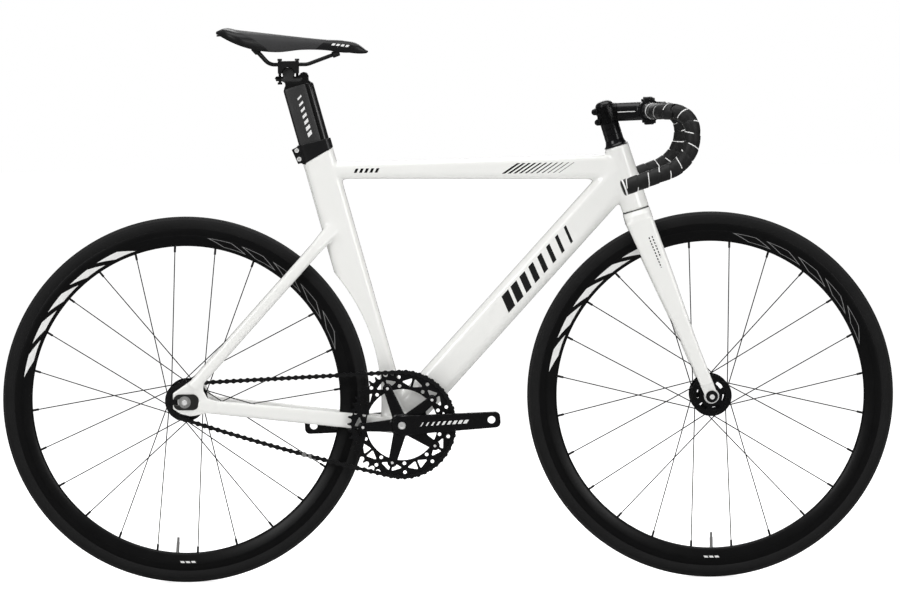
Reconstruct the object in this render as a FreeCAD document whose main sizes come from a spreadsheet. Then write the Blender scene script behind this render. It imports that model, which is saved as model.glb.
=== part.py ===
import FreeCAD, Part
import Sketcher
import math
import os

# Fixed gear bike, millimetres. +X is forwards, +Y the left side, +Z up. The origin lies on the
# ground under the middle of the wheelbase; the drive side is -Y.

Vector = FreeCAD.Vector
Rotation = FreeCAD.Rotation
Placement = FreeCAD.Placement
across = Vector(0, 1, 0)
upright = Vector(0, 0, 1)
ahead = Vector(1, 0, 0)

drivingSizes = {
    "layout": {
        "wheelbase": 969.4, "chain_stay_length": 401.1, "bracket_drop": 47, "head_angle": 73.5,
        "seat_angle": 74.7, "fork_offset": 32, "axle_to_crown": 368.3, "cut_overrun": 60,
        "running_gap": 0.05, "body_gap": 0.3,
    },
    "rims and tyres": {
        "bead_seat_radius": 311, "tyre_section": 28, "tyre_wall": 2.6, "tube_wall": 1.0,
        "rim_edge_height": 6, "rim_depth": 33, "rim_width": 23, "rim_hook": 2.4, "rim_wall": 1.7,
        "rim_side_wall": 2.3, "rim_well_depth": 7, "rim_well_width": 9, "rim_nose_width": 9,
        "rim_turn_depth": 13, "rim_bed": 2.6, "valve_radius": 3, "valve_reach": 28, "valve_tip_radius": 2.4,
        "valve_tip_length": 9, "valve_lean_angle": 4,
    },
    "spokes": {
        "spoke_count": 24, "spoke_crosses": 2, "spoke_radius": 1.0, "spoke_head_radius": 1.9,
        "spoke_head_length": 1.2, "nipple_radius": 2.1, "nipple_length": 13,
        "nipple_head_radius": 3.1, "nipple_head_length": 1.6, "hole_clearance": 0.12, "spoke_lean_gap": 1.6,
    },
    "hubs": {
        "front_spacing": 100, "rear_spacing": 120, "flange_radius": 38, "flange_thickness": 3.4,
        "flange_rise": 31, "spoke_circle_radius": 32.5, "barrel_radius": 16, "hub_nose_radius": 18,
        "flange_slot_inner": 21, "flange_slot_outer": 27.5, "flange_slot_angle": 34,
        "flange_slot_count": 6, "hub_half_length": 43, "rear_hub_half_length": 51,
        "cog_thread_radius": 17.4, "cog_shoulder_radius": 21, "bearing_seat_radius": 14,
        "bearing_width": 9, "front_axle_radius": 4.5, "rear_axle_radius": 5, "cone_radius": 9,
        "cone_gap": 0.5, "axle_end_length": 3, "nut_width": 15, "nut_height": 9,
        "nut_flange_radius": 11, "nut_flange_height": 2.4,
    },
    "drive": {
        "chain_pitch": 12.7, "ring_teeth": 48, "cog_teeth": 16, "chain_line": 44,
        "roller_radius": 3.9, "roller_seat_gap": 0.25, "tooth_height": 3.4, "tooth_thickness": 2.9,
        "tooth_tip_width": 2.2, "chain_inner_width": 3.4, "link_plate": 1.2, "link_plate_gap": 0.12,
        "link_plate_radius": 4.2, "link_waist_radius": 3.3, "pin_radius": 1.8, "pin_gap": 0.08,
        "pin_proud": 0.5, "ring_inner_radius": 65.6,
        "ring_band_inner": 71.5, "ring_band_outer": 88, "ring_web_angle": 3.2, "ring_window_corner": 1.6,
        "ring_bolt_circle_radius": 72, "lockring_radius": 20.5, "lockring_width": 4,
    },
    "cranks": {
        "crank_length": 165, "crank_rest_angle": 3.1, "crank_root_radius": 18, "crank_tip_radius": 15,
        "crank_thickness": 13, "crank_face": 71, "pedal_hole_radius": 7.144, "spider_count": 5,
        "spider_width": 15, "spider_pad_radius": 9, "spider_thickness": 8, "spindle_radius": 8.5,
        "spindle_square": 12.7, "bolt_head_radius": 7.5, "bolt_head_length": 4,
        "ring_bolt_radius": 5, "ring_bolt_head_radius": 6.4, "ring_bolt_head_length": 1.4,
        "crank_fillet": 3,
    },
    "bottom bracket": {
        "shell_radius": 20.5, "shell_width": 68, "shell_wall": 3, "cup_flange_radius": 20,
        "cup_flange_width": 2.5, "cup_depth": 16, "cup_wall": 2, "bracket_bearing_width": 9,
    },
    "frame tubes": {
        "tube_wall_thickness": 1.8, "seat_tube_depth": 61, "seat_tube_width": 32,
        "seat_tube_corner": 13, "seat_tube_lead": 16.6, "seat_tube_front_height": 525.8,
        "seat_tube_rear_drop": 16, "wheel_cut_gap": 22, "top_tube_drop": 39.1,
        "top_tube_seat_drop": 21.4, "top_tube_seat_depth": 28.5, "top_tube_head_depth": 46,
        "top_tube_seat_width": 30, "top_tube_head_width": 36, "top_tube_corner": 11,
        "down_tube_depth": 63, "down_tube_width": 44, "down_tube_corner": 18,
        "down_tube_head_rise": 73, "down_tube_bracket_rise": 8, "chain_stay_height": 28.5,
        "chain_stay_tip_height": 24.5, "chain_stay_drop": 4, "chain_stay_width": 14, "chain_stay_corner": 6.5,
        "chain_stay_waist_reach": 297, "chain_stay_waist_half": 27, "chain_stay_root_half": 25,
        "seat_stay_depth": 22, "seat_stay_width": 16.5, "seat_stay_corner": 7.5, "seat_stay_join_height": 387,
        "seat_stay_waist_reach": 340, "seat_stay_waist_half": 28, "seat_stay_join_half": 7.5,
        "stay_wall": 1.6,
    },
    "dropouts": {
        "dropout_thickness": 7, "insert_thickness": 2.2, "dropout_rear": 27, "dropout_front": 40,
        "dropout_top": 40, "dropout_bottom": 26, "dropout_heel": 14, "slot_clearance": 0.15,
        "insert_length": 47, "insert_height": 29, "insert_corner": 12, "insert_rear": 21,
    },
    "head": {
        "head_length": 122, "head_top_radius": 22.5, "head_low_radius": 25.5, "head_cup_wall": 2,
        "head_bore_radius": 18.5, "headset_height": 8, "steerer_radius": 14.3,
        "race_seat_radius": 16.5, "race_seat_length": 12, "crown_gap": 0.4, "steerer_top_gap": 3,
    },
    "fork": {
        "crown_height": 24, "crown_width": 82, "crown_depth": 50, "crown_corner": 18,
        "crown_tyre_gap": 5, "crown_sweep_gap": 8, "crown_arch_width": 44, "blade_root_depth": 46,
        "blade_root_width": 19,
        "blade_mid_depth": 38.5, "blade_mid_drop": 125, "blade_low_depth": 26, "blade_low_drop": 265,
        "blade_tip_depth": 22.5, "blade_tip_drop": 345, "blade_tip_width": 12, "blade_corner_share": 0.42,
        "blade_root_half": 31.5, "fork_tip_radius": 11, "fork_tip_thickness": 6.5,
    },
    "stem and bar": {
        "cover_height": 12, "cover_low_radius": 22, "cover_top_radius": 17.5, "spacer_count": 3,
        "spacer_height": 11, "spacer_radius": 17, "stem_clamp_height": 40, "stem_clamp_radius": 18,
        "stem_length": 80, "stem_rise_angle": 2, "stem_body_height": 34, "stem_body_width": 30,
        "stem_body_corner": 13, "bar_clamp_radius": 15.9, "bar_clamp_wall": 5, "bar_clamp_width": 42,
        "faceplate_gap": 1.2, "stem_bolt_radius": 2.5, "stem_bolt_head_radius": 4.2,
        "stem_bolt_head_length": 4, "stem_bolt_length": 20, "faceplate_bolt_rise": 19.4,
        "faceplate_bolt_half": 13, "faceplate_lug": 6.2, "clamp_ear_depth": 11, "clamp_ear_width": 18,
        "top_cap_height": 4, "bar_radius": 11.9, "bar_wall": 2.2, "bar_bulge_half": 28,
        "bar_taper_length": 14, "bar_flat_half": 62, "bar_shoulder_half": 165,
        "bar_shoulder_lead": 14, "bar_reach": 69, "bar_hook_half": 184, "bar_drop_half": 190,
        "bar_end_half": 196, "bar_hook_drop": 92.2, "bar_end_drop": 137, "bar_end_back": 58,
        "bar_flat_bend": 90, "bar_shoulder_bend": 44, "bar_hook_bend": 38, "bar_drop_bend": 70,
        "tape_thickness": 2.6, "tape_start_half": 46, "plug_radius": 13.5, "plug_length": 4,
        "plug_depth": 15,
    },
    "seatpost": {
        "post_gap": 0.3, "post_insertion": 120.8, "post_stand": 119.2, "post_wall": 2.4, "post_corner": 11,
        "post_neck_width": 24, "post_neck_depth": 22, "clamp_flush": 0.8, "clamp_front_rise": 18.2,
        "clamp_rear_rise": 36.2, "clamp_block_back": 13, "clamp_block_width": 17,
        "clamp_block_rise": 3.2, "clamp_bolt_radius": 2.5, "clamp_bolt_head_radius": 4.2,
        "clamp_bolt_head_length": 4, "head_pivot_radius": 11, "head_pivot_width": 30,
        "head_above_post": 33.5, "head_behind": 24.47, "head_ear_half": 23, "head_ear_drop": 9,
        "head_ear_thickness": 5, "head_bolt_half": 16, "head_bolt_clearance": 1.8,
        "head_nut_clearance": 2.3,
    },
    "saddle": {
        "rail_radius": 3.5, "rail_rise": 16.5, "rail_half_gap": 22, "rail_straight_half": 35,
        "rail_rear_reach": 28, "rail_rear_tuck": 7.2, "rail_rear_half": 31, "rail_nose_reach": 58,
        "rail_nose_tuck": 1.8, "rail_nose_half": 9, "rail_bend": 22,
        "plate_length": 38, "plate_width": 56, "plate_thickness": 6, "plate_split": 0.8,
        "seat_nut_gap": 2.4, "saddle_tail_reach": 130.5, "saddle_nose_reach": 145,
        "saddle_tail_half": 40, "saddle_rear_half": 67, "saddle_mid_half": 33,
        "saddle_waist_half": 23, "saddle_nose_half": 18, "saddle_tip_half": 8,
        "saddle_tail_depth": 13, "saddle_rear_depth": 22, "saddle_mid_depth": 29,
        "saddle_waist_depth": 21, "saddle_nose_depth": 21, "saddle_tip_depth": 9,
        "saddle_tail_rise": 52.5, "saddle_rear_rise": 46.5, "saddle_mid_rise": 27.5,
        "saddle_waist_rise": 28.5, "saddle_nose_rise": 21.5, "saddle_tip_rise": 19.5,
        "shell_thickness": 2.6, "pad_gap": 0.3, "rail_socket": 12, "rail_socket_wall": 2.4,
    },
}

doc = FreeCAD.newDocument("fixed_gear_bike")
sheet = doc.addObject("Spreadsheet::Sheet", "Sizes")


class Cell:
    # A number from the sheet that keeps the expression it was worked out with.
    def __init__(self, value, text):
        self.value = value
        self.text = text

    def __float__(self):
        return float(self.value)

    def join(self, sign, other, value):
        right = other.text if isinstance(other, Cell) else repr(other)
        return Cell(value, "({} {} {})".format(self.text, sign, right))

    def __add__(self, other):
        return self.join("+", other, self.value + float(other))

    def __sub__(self, other):
        return self.join("-", other, self.value - float(other))

    def __mul__(self, other):
        return self.join("*", other, self.value * float(other))

    def __truediv__(self, other):
        return self.join("/", other, self.value / float(other))

    def __neg__(self):
        return Cell(-self.value, "(-1 * {})".format(self.text))


class Sizes:
    pass


size = Sizes()
mm = Sizes()


def fill_sheet():
    row = 1
    for group, values in drivingSizes.items():
        sheet.set("A{}".format(row), group)
        row += 1
        for alias, value in values.items():
            sheet.set("A{}".format(row), alias)
            sheet.set("B{}".format(row), str(value))
            sheet.setAlias("B{}".format(row), alias)
            row += 1
    doc.recompute()
    for values in drivingSizes.values():
        for alias in values:
            number = float(sheet.get(alias))
            setattr(mm, alias, number)
            setattr(size, alias, Cell(number, "Sizes." + alias))


fill_sheet()
nodes = []

# Places that the pieces share

wheel_radius = mm.bead_seat_radius + mm.tyre_section
rear_axle_at = Vector(-mm.wheelbase / 2, 0, wheel_radius)
front_axle_at = Vector(mm.wheelbase / 2, 0, wheel_radius)
bracket_run = math.sqrt(mm.chain_stay_length ** 2 - mm.bracket_drop ** 2)
bracket_at = rear_axle_at + Vector(bracket_run, 0, -mm.bracket_drop)

head_lean = math.radians(mm.head_angle)
steer_up = Vector(-math.cos(head_lean), 0, math.sin(head_lean))
steer_front = Vector(math.sin(head_lean), 0, math.cos(head_lean))
crown_at = front_axle_at - steer_front * mm.fork_offset + steer_up * mm.axle_to_crown

seat_lean = math.radians(mm.seat_angle)
seat_up = Vector(-math.cos(seat_lean), 0, math.sin(seat_lean))
seat_front = Vector(math.sin(seat_lean), 0, math.cos(seat_lean))
seat_middle = mm.seat_tube_lead - mm.seat_tube_depth / 2

stem_rise = math.radians(mm.stem_rise_angle)
stem_ahead = Vector(math.cos(stem_rise), 0, math.sin(stem_rise))
stem_over = Vector(-math.sin(stem_rise), 0, math.cos(stem_rise))
spacers_height = mm.spacer_count * mm.spacer_height
stem_low = mm.head_length + mm.cover_height + spacers_height
stem_mid = stem_low + mm.stem_clamp_height / 2
stem_at = crown_at + steer_up * stem_mid
bar_at = stem_at + stem_ahead * mm.stem_length

rim_edge_radius = mm.bead_seat_radius + mm.rim_edge_height
rim_inner_radius = rim_edge_radius - mm.rim_depth
tyre_ring_radius = wheel_radius - mm.tyre_section / 2
crank_turn = math.radians(mm.crank_rest_angle)
crank_ahead = Vector(math.cos(crank_turn), 0, math.sin(crank_turn))
sides = {"right": -1, "left": 1}
across_share = 0.5


def steer_point(height, forward, half=0):
    return crown_at + steer_up * height + steer_front * forward + across * half


def seat_point(height, forward, half=0):
    return bracket_at + seat_up * height + seat_front * forward + across * half


seat_rear_height = mm.seat_tube_front_height - mm.seat_tube_rear_drop
clamp_front_top = mm.seat_tube_front_height + mm.clamp_front_rise
clamp_rear_top = seat_rear_height + mm.clamp_rear_rise
clamp_block_low = seat_rear_height + mm.clamp_block_rise
post_low = mm.seat_tube_front_height - mm.post_insertion
post_top = mm.seat_tube_front_height + mm.post_stand
head_at = seat_point(post_top + mm.head_above_post, -mm.head_behind)
rail_height = head_at.z + mm.rail_rise


def side_direction(angle):
    return Vector(math.cos(angle), 0, math.sin(angle))


# Helpers for sketches, solids and nodes


def own_plane(body, role):
    for feature in body.Origin.OriginFeatures:
        if feature.Role == role:
            return feature
    raise ValueError(role)


def pin_point(sketch, edge, along, rising):
    for kind, value, axis in (("DistanceX", along, -2), ("DistanceY", rising, -1)):
        if not isinstance(value, Cell):
            sketch.addConstraint(Sketcher.Constraint("PointOnObject", edge, 1, axis))
            continue
        row = sketch.addConstraint(Sketcher.Constraint(kind, -1, 1, edge, 1, float(value)))
        sketch.setExpression("Constraints[{}]".format(row), value.text)


def draw_loop(sketch, points):
    # A closed outline whose corners are held by cells; a plain 0 lies on the axis.
    first = sketch.GeometryCount
    count = len(points)
    flat = [Vector(float(along), float(rising), 0) for along, rising in points]
    for index in range(count):
        sketch.addGeometry(Part.LineSegment(flat[index], flat[(index + 1) % count]), False)
    for index in range(count):
        following = first + (index + 1) % count
        sketch.addConstraint(Sketcher.Constraint("Coincident", first + index, 2, following, 1))
    for index, (along, rising) in enumerate(points):
        pin_point(sketch, first + index, along, rising)


def turned(label, loops, at, axis=across):
    # A body of revolution: each loop lists (radius, place along the axis).
    body = doc.addObject("PartDesign::Body", label)
    sketch = body.newObject("Sketcher::SketchObject", label + "_profile")
    sketch.AttachmentSupport = (own_plane(body, "XY_Plane"), [""])
    sketch.MapMode = "FlatFace"
    for points in loops:
        draw_loop(sketch, points)
    spin = body.newObject("PartDesign::Revolution", label + "_turn")
    spin.Profile = sketch
    spin.ReferenceAxis = (sketch, ["V_Axis"])
    spin.Angle = 360
    body.Placement = Placement(at, Rotation(across, axis))
    return body


def ring(label, inner, outer, low, high, at, axis=across):
    return turned(label, [[(inner, low), (outer, low), (outer, high), (inner, high)]], at, axis)


def node(label, thing):
    thing.Label = label
    nodes.append(thing)
    return thing


def shape_node(label, shape, at=Vector()):
    thing = doc.addObject("Part::Feature", label)
    thing.Shape = shape
    thing.Placement = Placement(at, Rotation())
    return node(label, thing)


def group_node(label, things):
    group = doc.addObject("Part::Compound", label)
    group.Links = things
    return node(label, group)


def cut_node(label, base, tool_shape):
    tool = doc.addObject("Part::Feature", label + "_tool")
    tool.Shape = tool_shape
    cut = doc.addObject("Part::Cut", label)
    cut.Base = base
    cut.Tool = tool
    return node(label, cut)


def moved(shape, place):
    copy = shape.copy()
    copy.Placement = place.multiply(copy.Placement)
    return copy


def turned_about_axle(shape, at, angle):
    return moved(shape, Placement(at, Rotation(across, -math.degrees(angle))))


def largest(shape):
    return max(shape.Solids, key=lambda solid: solid.Volume)


def rod(start, end, radius):
    span = end - start
    return Part.makeCylinder(radius, span.Length, start, span)


def rounded_wire(at, depth_way, depth, width, corner):
    # A rounded rectangle: depth along depth_way, width across the bike.
    half_depth = depth / 2
    half_width = width / 2
    slant = corner * (1 - math.sqrt(0.5))
    edges = []
    corners = [(1, 1), (-1, 1), (-1, -1), (1, -1)]

    def place(along, aside):
        return at + depth_way * along + across * aside

    def ends(sign_depth, sign_width):
        on_side = place(sign_depth * (half_depth - corner), sign_width * half_width)
        on_face = place(sign_depth * half_depth, sign_width * (half_width - corner))
        middle = place(sign_depth * (half_depth - slant), sign_width * (half_width - slant))
        return (on_face, middle, on_side) if sign_depth == sign_width else (on_side, middle, on_face)

    arcs = [ends(*signs) for signs in corners]
    for index, (start, middle, end) in enumerate(arcs):
        edges.append(Part.Arc(start, middle, end).toShape())
        edges.append(Part.makeLine(end, arcs[(index + 1) % len(arcs)][0]))
    return Part.Wire(edges)


def loft(sections, ruled=True):
    return Part.makeLoft([rounded_wire(*section) for section in sections], True, ruled)


def hollow_loft(sections, wall, ruled=True):
    inner = []
    for at, depth_way, depth, width, corner in sections:
        inner.append((at, depth_way, depth - 2 * wall, width - 2 * wall, max(corner - wall, wall)))
    return loft(sections, ruled), loft(inner, ruled)


def flat_prism(points, low, high):
    # A side-view polygon, made into a solid between two places across the bike.
    closed = [Vector(point.x, low, point.z) for point in points]
    face = Part.Face(Part.makePolygon(closed + closed[:1]))
    return face.extrude(across * (high - low))


def rounded_path(points, radii):
    # Straight runs joined by tangent arcs; the end points have no radius.
    edges = []
    start = points[0]
    for index in range(1, len(points) - 1):
        corner = points[index]
        back = (points[index - 1] - corner).normalize()
        onward = (points[index + 1] - corner).normalize()
        half_turn = back.getAngle(onward) / 2
        reach = radii[index - 1] / math.tan(half_turn)
        inward = (back + onward).normalize()
        middle = corner + inward * (radii[index - 1] / math.sin(half_turn) - radii[index - 1])
        edges.append(Part.makeLine(start, corner + back * reach))
        edges.append(Part.Arc(corner + back * reach, middle, corner + onward * reach).toShape())
        start = corner + onward * reach
    edges.append(Part.makeLine(start, points[-1]))
    return Part.Wire(edges)


def swept(path, radius):
    first = path.OrderedEdges[0]
    start = first.valueAt(first.FirstParameter)
    way = first.tangentAt(first.FirstParameter)
    circle = Part.Wire([Part.makeCircle(radius, start, way)])
    return path.makePipeShell([circle], True, False)


def capsule(start, start_radius, end, end_radius, low, high):
    # Two round ends joined by their outer tangents, seen from the side.
    span = end - start
    length = span.Length
    way = span * (1 / length)
    up = Vector(-way.z, 0, way.x)
    lean = math.asin((start_radius - end_radius) / length)
    tangent = up * math.cos(lean) + way * math.sin(lean)
    under = up * -math.cos(lean) + way * math.sin(lean)
    edges = [
        Part.makeLine(start + tangent * start_radius, end + tangent * end_radius),
        Part.Arc(end + tangent * end_radius, end + way * end_radius, end + under * end_radius).toShape(),
        Part.makeLine(end + under * end_radius, start + under * start_radius),
        Part.Arc(start + under * start_radius, start - way * start_radius,
                 start + tangent * start_radius).toShape(),
    ]
    face = Part.Face(Part.Wire(edges))
    face.translate(across * low)
    return face.extrude(across * (high - low))


def arc_slot(inner, outer, half_angle, low, high):
    # A slot along an arc about the Y axis, centred on +X.
    def place(radius, angle):
        return side_direction(angle) * radius + across * low
    edges = []
    for radius in (inner, outer):
        arc = Part.Arc(place(radius, -half_angle), place(radius, 0), place(radius, half_angle))
        edges.append(arc.toShape())
    for angle in (-half_angle, half_angle):
        edges.append(Part.makeLine(place(inner, angle), place(outer, angle)))
    face = Part.Face(Part.Wire(Part.__sortEdges__(edges)))
    return face.extrude(across * (high - low))


def around(shape, count, phase=0):
    step = 2 * math.pi / count
    return [turned_about_axle(shape, Vector(), phase + index * step) for index in range(count)]


# Rims, tyres and tubes


def rim_body(label, at):
    edge = size.bead_seat_radius + size.rim_edge_height
    nose = edge - size.rim_depth
    half = size.rim_width / 2
    hook_in = half - size.rim_hook
    shelf = edge - size.rim_edge_height
    well = edge - size.rim_edge_height - size.rim_well_depth
    turn = edge - size.rim_turn_depth
    right = [(edge, hook_in), (edge, half), (turn, half), (nose, size.rim_nose_width / 2)]
    inner = [(shelf, hook_in), (well, size.rim_well_width / 2)]
    outline = right + [(along, -rising) for along, rising in reversed(right)]
    outline += [(along, -rising) for along, rising in inner] + list(reversed(inner))
    roof = well - size.rim_wall
    bed = nose + size.rim_bed
    cavity_half = half - size.rim_side_wall
    nose_half = size.rim_nose_width / 2 - size.rim_wall / 2
    cavity = [(roof, cavity_half), (roof, -cavity_half), (bed, -nose_half), (bed, nose_half)]
    return turned(label + "_blank", [outline, cavity], at)


def spoke_line(leading, flange_side, rim_angle=0):
    # Ends of one spoke about the axle: its elbow at the flange and its rim end.
    swing = mm.spoke_crosses * 4 * math.pi / mm.spoke_count
    hub_angle = rim_angle + (swing if leading else -swing)
    stand_off = mm.flange_thickness / 2 + mm.spoke_radius
    face = mm.flange_rise + (stand_off + mm.spoke_lean_gap if leading else -stand_off)
    elbow = side_direction(hub_angle) * mm.spoke_circle_radius + across * (flange_side * face)
    rim_end = side_direction(rim_angle) * (rim_inner_radius + mm.rim_bed)
    return elbow, rim_end


def spoke_pieces(leading, flange_side):
    elbow, rim_end = spoke_line(leading, flange_side)
    way = (rim_end - elbow).normalize()
    spoke_end = rim_end + way * mm.nipple_head_length / 2
    inward = across * (-flange_side if leading else flange_side)
    through = mm.flange_thickness + mm.spoke_radius + (mm.spoke_lean_gap if leading else 0)
    stub_end = elbow + inward * through
    spoke = rod(elbow, spoke_end, mm.spoke_radius)
    spoke = spoke.fuse(Part.makeSphere(mm.spoke_radius, elbow))
    spoke = spoke.fuse(rod(elbow, stub_end, mm.spoke_radius))
    head = rod(stub_end, stub_end + inward * mm.spoke_head_length, mm.spoke_head_radius)
    spoke = spoke.fuse(head).removeSplitter()
    nipple_start = rim_end - way * mm.nipple_length
    nipple = rod(nipple_start, rim_end, mm.nipple_radius)
    nipple = nipple.fuse(rod(rim_end, rim_end + way * mm.nipple_head_length, mm.nipple_head_radius))
    nipple = nipple.cut(rod(nipple_start, spoke_end, mm.spoke_radius + mm.pin_gap / 2))
    hole = rod(nipple_start, rim_end, mm.nipple_radius + mm.hole_clearance)
    seat = rod(rim_end, rim_end + way * mm.nipple_head_length, mm.nipple_head_radius + mm.hole_clearance)
    hole = hole.fuse(seat)
    return spoke, nipple.removeSplitter(), hole


def lace_wheel(valve_angle):
    spokes = []
    nipples = []
    holes = []
    patterns = {}
    for leading in (True, False):
        for flange_side in (-1, 1):
            patterns[(leading, flange_side)] = spoke_pieces(leading, flange_side)
    step = 2 * math.pi / mm.spoke_count
    for index in range(int(mm.spoke_count)):
        leading = index % 4 < 2
        flange_side = -1 if index % 2 else 1
        angle = valve_angle + step / 2 + index * step
        spoke, nipple, hole = patterns[(leading, flange_side)]
        spokes.append(turned_about_axle(spoke, Vector(), angle))
        nipples.append(turned_about_axle(nipple, Vector(), angle))
        holes.append(turned_about_axle(hole, Vector(), angle))
    return spokes, nipples, holes


def tyre_shape(rim_shape, at):
    outer = Part.makeTorus(tyre_ring_radius, mm.tyre_section / 2, at, across)
    inner = Part.makeTorus(tyre_ring_radius, mm.tyre_section / 2 - mm.tyre_wall, at, across)
    well = mm.bead_seat_radius + mm.pin_gap
    core = Part.makeCylinder(well, mm.tyre_section, at - across * mm.tyre_section / 2, across)
    bead_rise = tyre_ring_radius - rim_edge_radius
    mouth_half = math.sqrt((mm.tyre_section / 2 - mm.tyre_wall) ** 2 - bead_rise ** 2)
    mouth = Part.makeCylinder(rim_edge_radius, 2 * mouth_half, at - across * mouth_half, across)
    tyre = outer.cut(inner).cut([core, mouth, rim_shape])
    return largest(tyre)


def tube_shape(at, valve_angle):
    tube_radius = mm.tyre_section / 2 - mm.tyre_wall - mm.body_gap
    outer = Part.makeTorus(tyre_ring_radius, tube_radius, at, across)
    inner = Part.makeTorus(tyre_ring_radius, tube_radius - mm.tube_wall, at, across)
    way = side_direction(valve_angle)
    stem_foot = at + way * (tyre_ring_radius - tube_radius + mm.tube_wall / 2)
    stem_end = at + way * (rim_inner_radius - mm.valve_reach + mm.valve_tip_length)
    tip_end = at + way * (rim_inner_radius - mm.valve_reach)
    stem = rod(stem_foot, stem_end, mm.valve_radius)
    tip = rod(stem_end, tip_end, mm.valve_tip_radius)
    return outer.fuse(stem).cut(inner).fuse(tip).removeSplitter()


def hub_bodies(name, at, half_length, axle_radius, cog_side):
    outer = size.flange_radius
    root = size.barrel_radius
    seat = size.bearing_seat_radius
    nose = size.hub_nose_radius
    low = size.flange_rise - size.flange_thickness / 2
    high = size.flange_rise + size.flange_thickness / 2
    bore = axle_radius + size.running_gap + size.cone_gap
    shelf = half_length - size.bearing_width
    left = [(root, low), (outer, low), (outer, high), (nose, high), (nose, half_length)]
    if cog_side:
        shoulder = size.chain_line - size.tooth_thickness / 2
        right = [(root, low), (outer, low), (outer, high), (size.cog_shoulder_radius, high),
                 (size.cog_shoulder_radius, shoulder), (size.cog_thread_radius, shoulder),
                 (size.cog_thread_radius, half_length)]
    else:
        right = left
    inside = [(seat, half_length), (seat, shelf), (bore, shelf)]
    outline = [(radius, -along) for radius, along in reversed(right)] + left + inside
    outline += [(radius, -along) for radius, along in reversed(inside)]
    blank = turned(name + "_hub_blank", [outline], at)
    bearings = []
    for side, start in (("left", shelf), ("right", -half_length)):
        end = start + size.bearing_width
        inner = axle_radius + size.running_gap
        bearings.append(ring(name + "_bearing_" + side, inner, seat, start, end, at))
    return blank, bearings


def build_wheel(name, at, valve_angle, half_length, axle_radius, cog_side):
    spokes, nipples, holes = lace_wheel(valve_angle)
    stem_way = side_direction(valve_angle)
    valve_hole = rod(Vector(), stem_way * rim_edge_radius, mm.valve_radius + mm.hole_clearance)
    here = Placement(at, Rotation())
    rim_tools = Part.makeCompound([moved(tool, here) for tool in holes + [valve_hole]])
    rim = cut_node(name + "_rim", rim_body(name + "_rim", at), rim_tools)
    doc.recompute()
    shape_node(name + "_tyre", tyre_shape(rim.Shape, at))
    shape_node(name + "_inner_tube", tube_shape(at, valve_angle))
    lacing = Part.makeCompound([moved(piece, here) for piece in spokes + nipples])
    shape_node(name + "_spokes", lacing)
    blank, bearings = hub_bodies(name, at, half_length, axle_radius, cog_side)
    step = 2 * math.pi / mm.spoke_count
    drilled = []
    depth = mm.flange_rise + mm.flange_thickness
    half_angle = math.radians(mm.flange_slot_angle) / 2
    for flange_side in (-1, 1):
        # Holes of this flange, half a spoke apart from the other flange's.
        phase = valve_angle + step / 2 + (step if flange_side < 0 else 0)
        start = across * (flange_side * (mm.flange_rise - mm.flange_thickness))
        end = across * (flange_side * depth)
        out = ahead * mm.spoke_circle_radius
        hole = rod(start + out, end + out, mm.spoke_radius + mm.hole_clearance)
        drilled += around(hole, int(mm.spoke_count / 2), phase)
        low, high = sorted((start.y, end.y))
        slot = arc_slot(mm.flange_slot_inner, mm.flange_slot_outer, half_angle, low, high)
        if not (cog_side and flange_side < 0):
            drilled += around(slot, int(mm.flange_slot_count), phase)
    tools = Part.makeCompound([moved(tool, here) for tool in drilled])
    cut_node(name + "_hub_shell", blank, tools)
    group_node(name + "_hub_bearings", bearings)


def axle_body(label, at, axle_radius, spacing, half_length, clamped):
    half = spacing / 2
    tip = half + clamped + size.nut_height + size.axle_end_length
    cone_start = half_length + size.cone_gap
    collar = axle_radius + size.running_gap + size.cone_gap
    right = [(axle_radius, half_length), (collar, half_length), (collar, cone_start),
             (size.cone_radius, cone_start), (size.cone_radius, half), (axle_radius, half)]
    outline = [(0, -tip), (axle_radius, -tip)]
    outline += [(radius, -along) for radius, along in reversed(right)]
    outline += right + [(axle_radius, tip), (0, tip)]
    return node(label, turned(label, [outline], at))


def nut_pair(label, at, axle_radius, half):
    nuts = []
    for side in sides.values():
        way = across * side
        seat = at + way * half
        flange_end = seat + way * mm.nut_flange_height
        end = seat + way * mm.nut_height
        hexagon = []
        corner_radius = mm.nut_width / 2 / math.cos(math.pi / 6)
        for index in range(6):
            hexagon.append(flange_end + side_direction(index * math.pi / 3) * corner_radius)
        nut = Part.Face(Part.makePolygon(hexagon + hexagon[:1])).extrude(end - flange_end)
        nut = nut.fuse(rod(seat, flange_end, mm.nut_flange_radius))
        nut = nut.cut(rod(seat, end, axle_radius))
        nuts.append(nut.removeSplitter())
    shape_node(label, Part.makeCompound(nuts))


valve_down = -math.pi / 2
rear_valve = valve_down - math.radians(mm.valve_lean_angle)
build_wheel("rear", rear_axle_at, rear_valve, size.rear_hub_half_length, size.rear_axle_radius, True)
build_wheel("front", front_axle_at, valve_down, size.hub_half_length, size.front_axle_radius, False)
rear_clamped = size.dropout_thickness + size.insert_thickness
axle_body("rear_axle", rear_axle_at, size.rear_axle_radius, size.rear_spacing,
          size.rear_hub_half_length, rear_clamped)
axle_body("front_axle", front_axle_at, size.front_axle_radius, size.front_spacing,
          size.hub_half_length, size.fork_tip_thickness)
nut_pair("rear_axle_nuts", rear_axle_at, mm.rear_axle_radius, float(size.rear_spacing / 2 + rear_clamped))
nut_pair("front_axle_nuts", front_axle_at, mm.front_axle_radius,
         mm.front_spacing / 2 + mm.fork_tip_thickness)

# Chain, chainring and cog


def pitch_radius(teeth):
    return mm.chain_pitch / 2 / math.sin(math.pi / teeth)


ring_pitch_radius = pitch_radius(mm.ring_teeth)
cog_pitch_radius = pitch_radius(mm.cog_teeth)
chain_shift = across * -mm.chain_line


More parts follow.
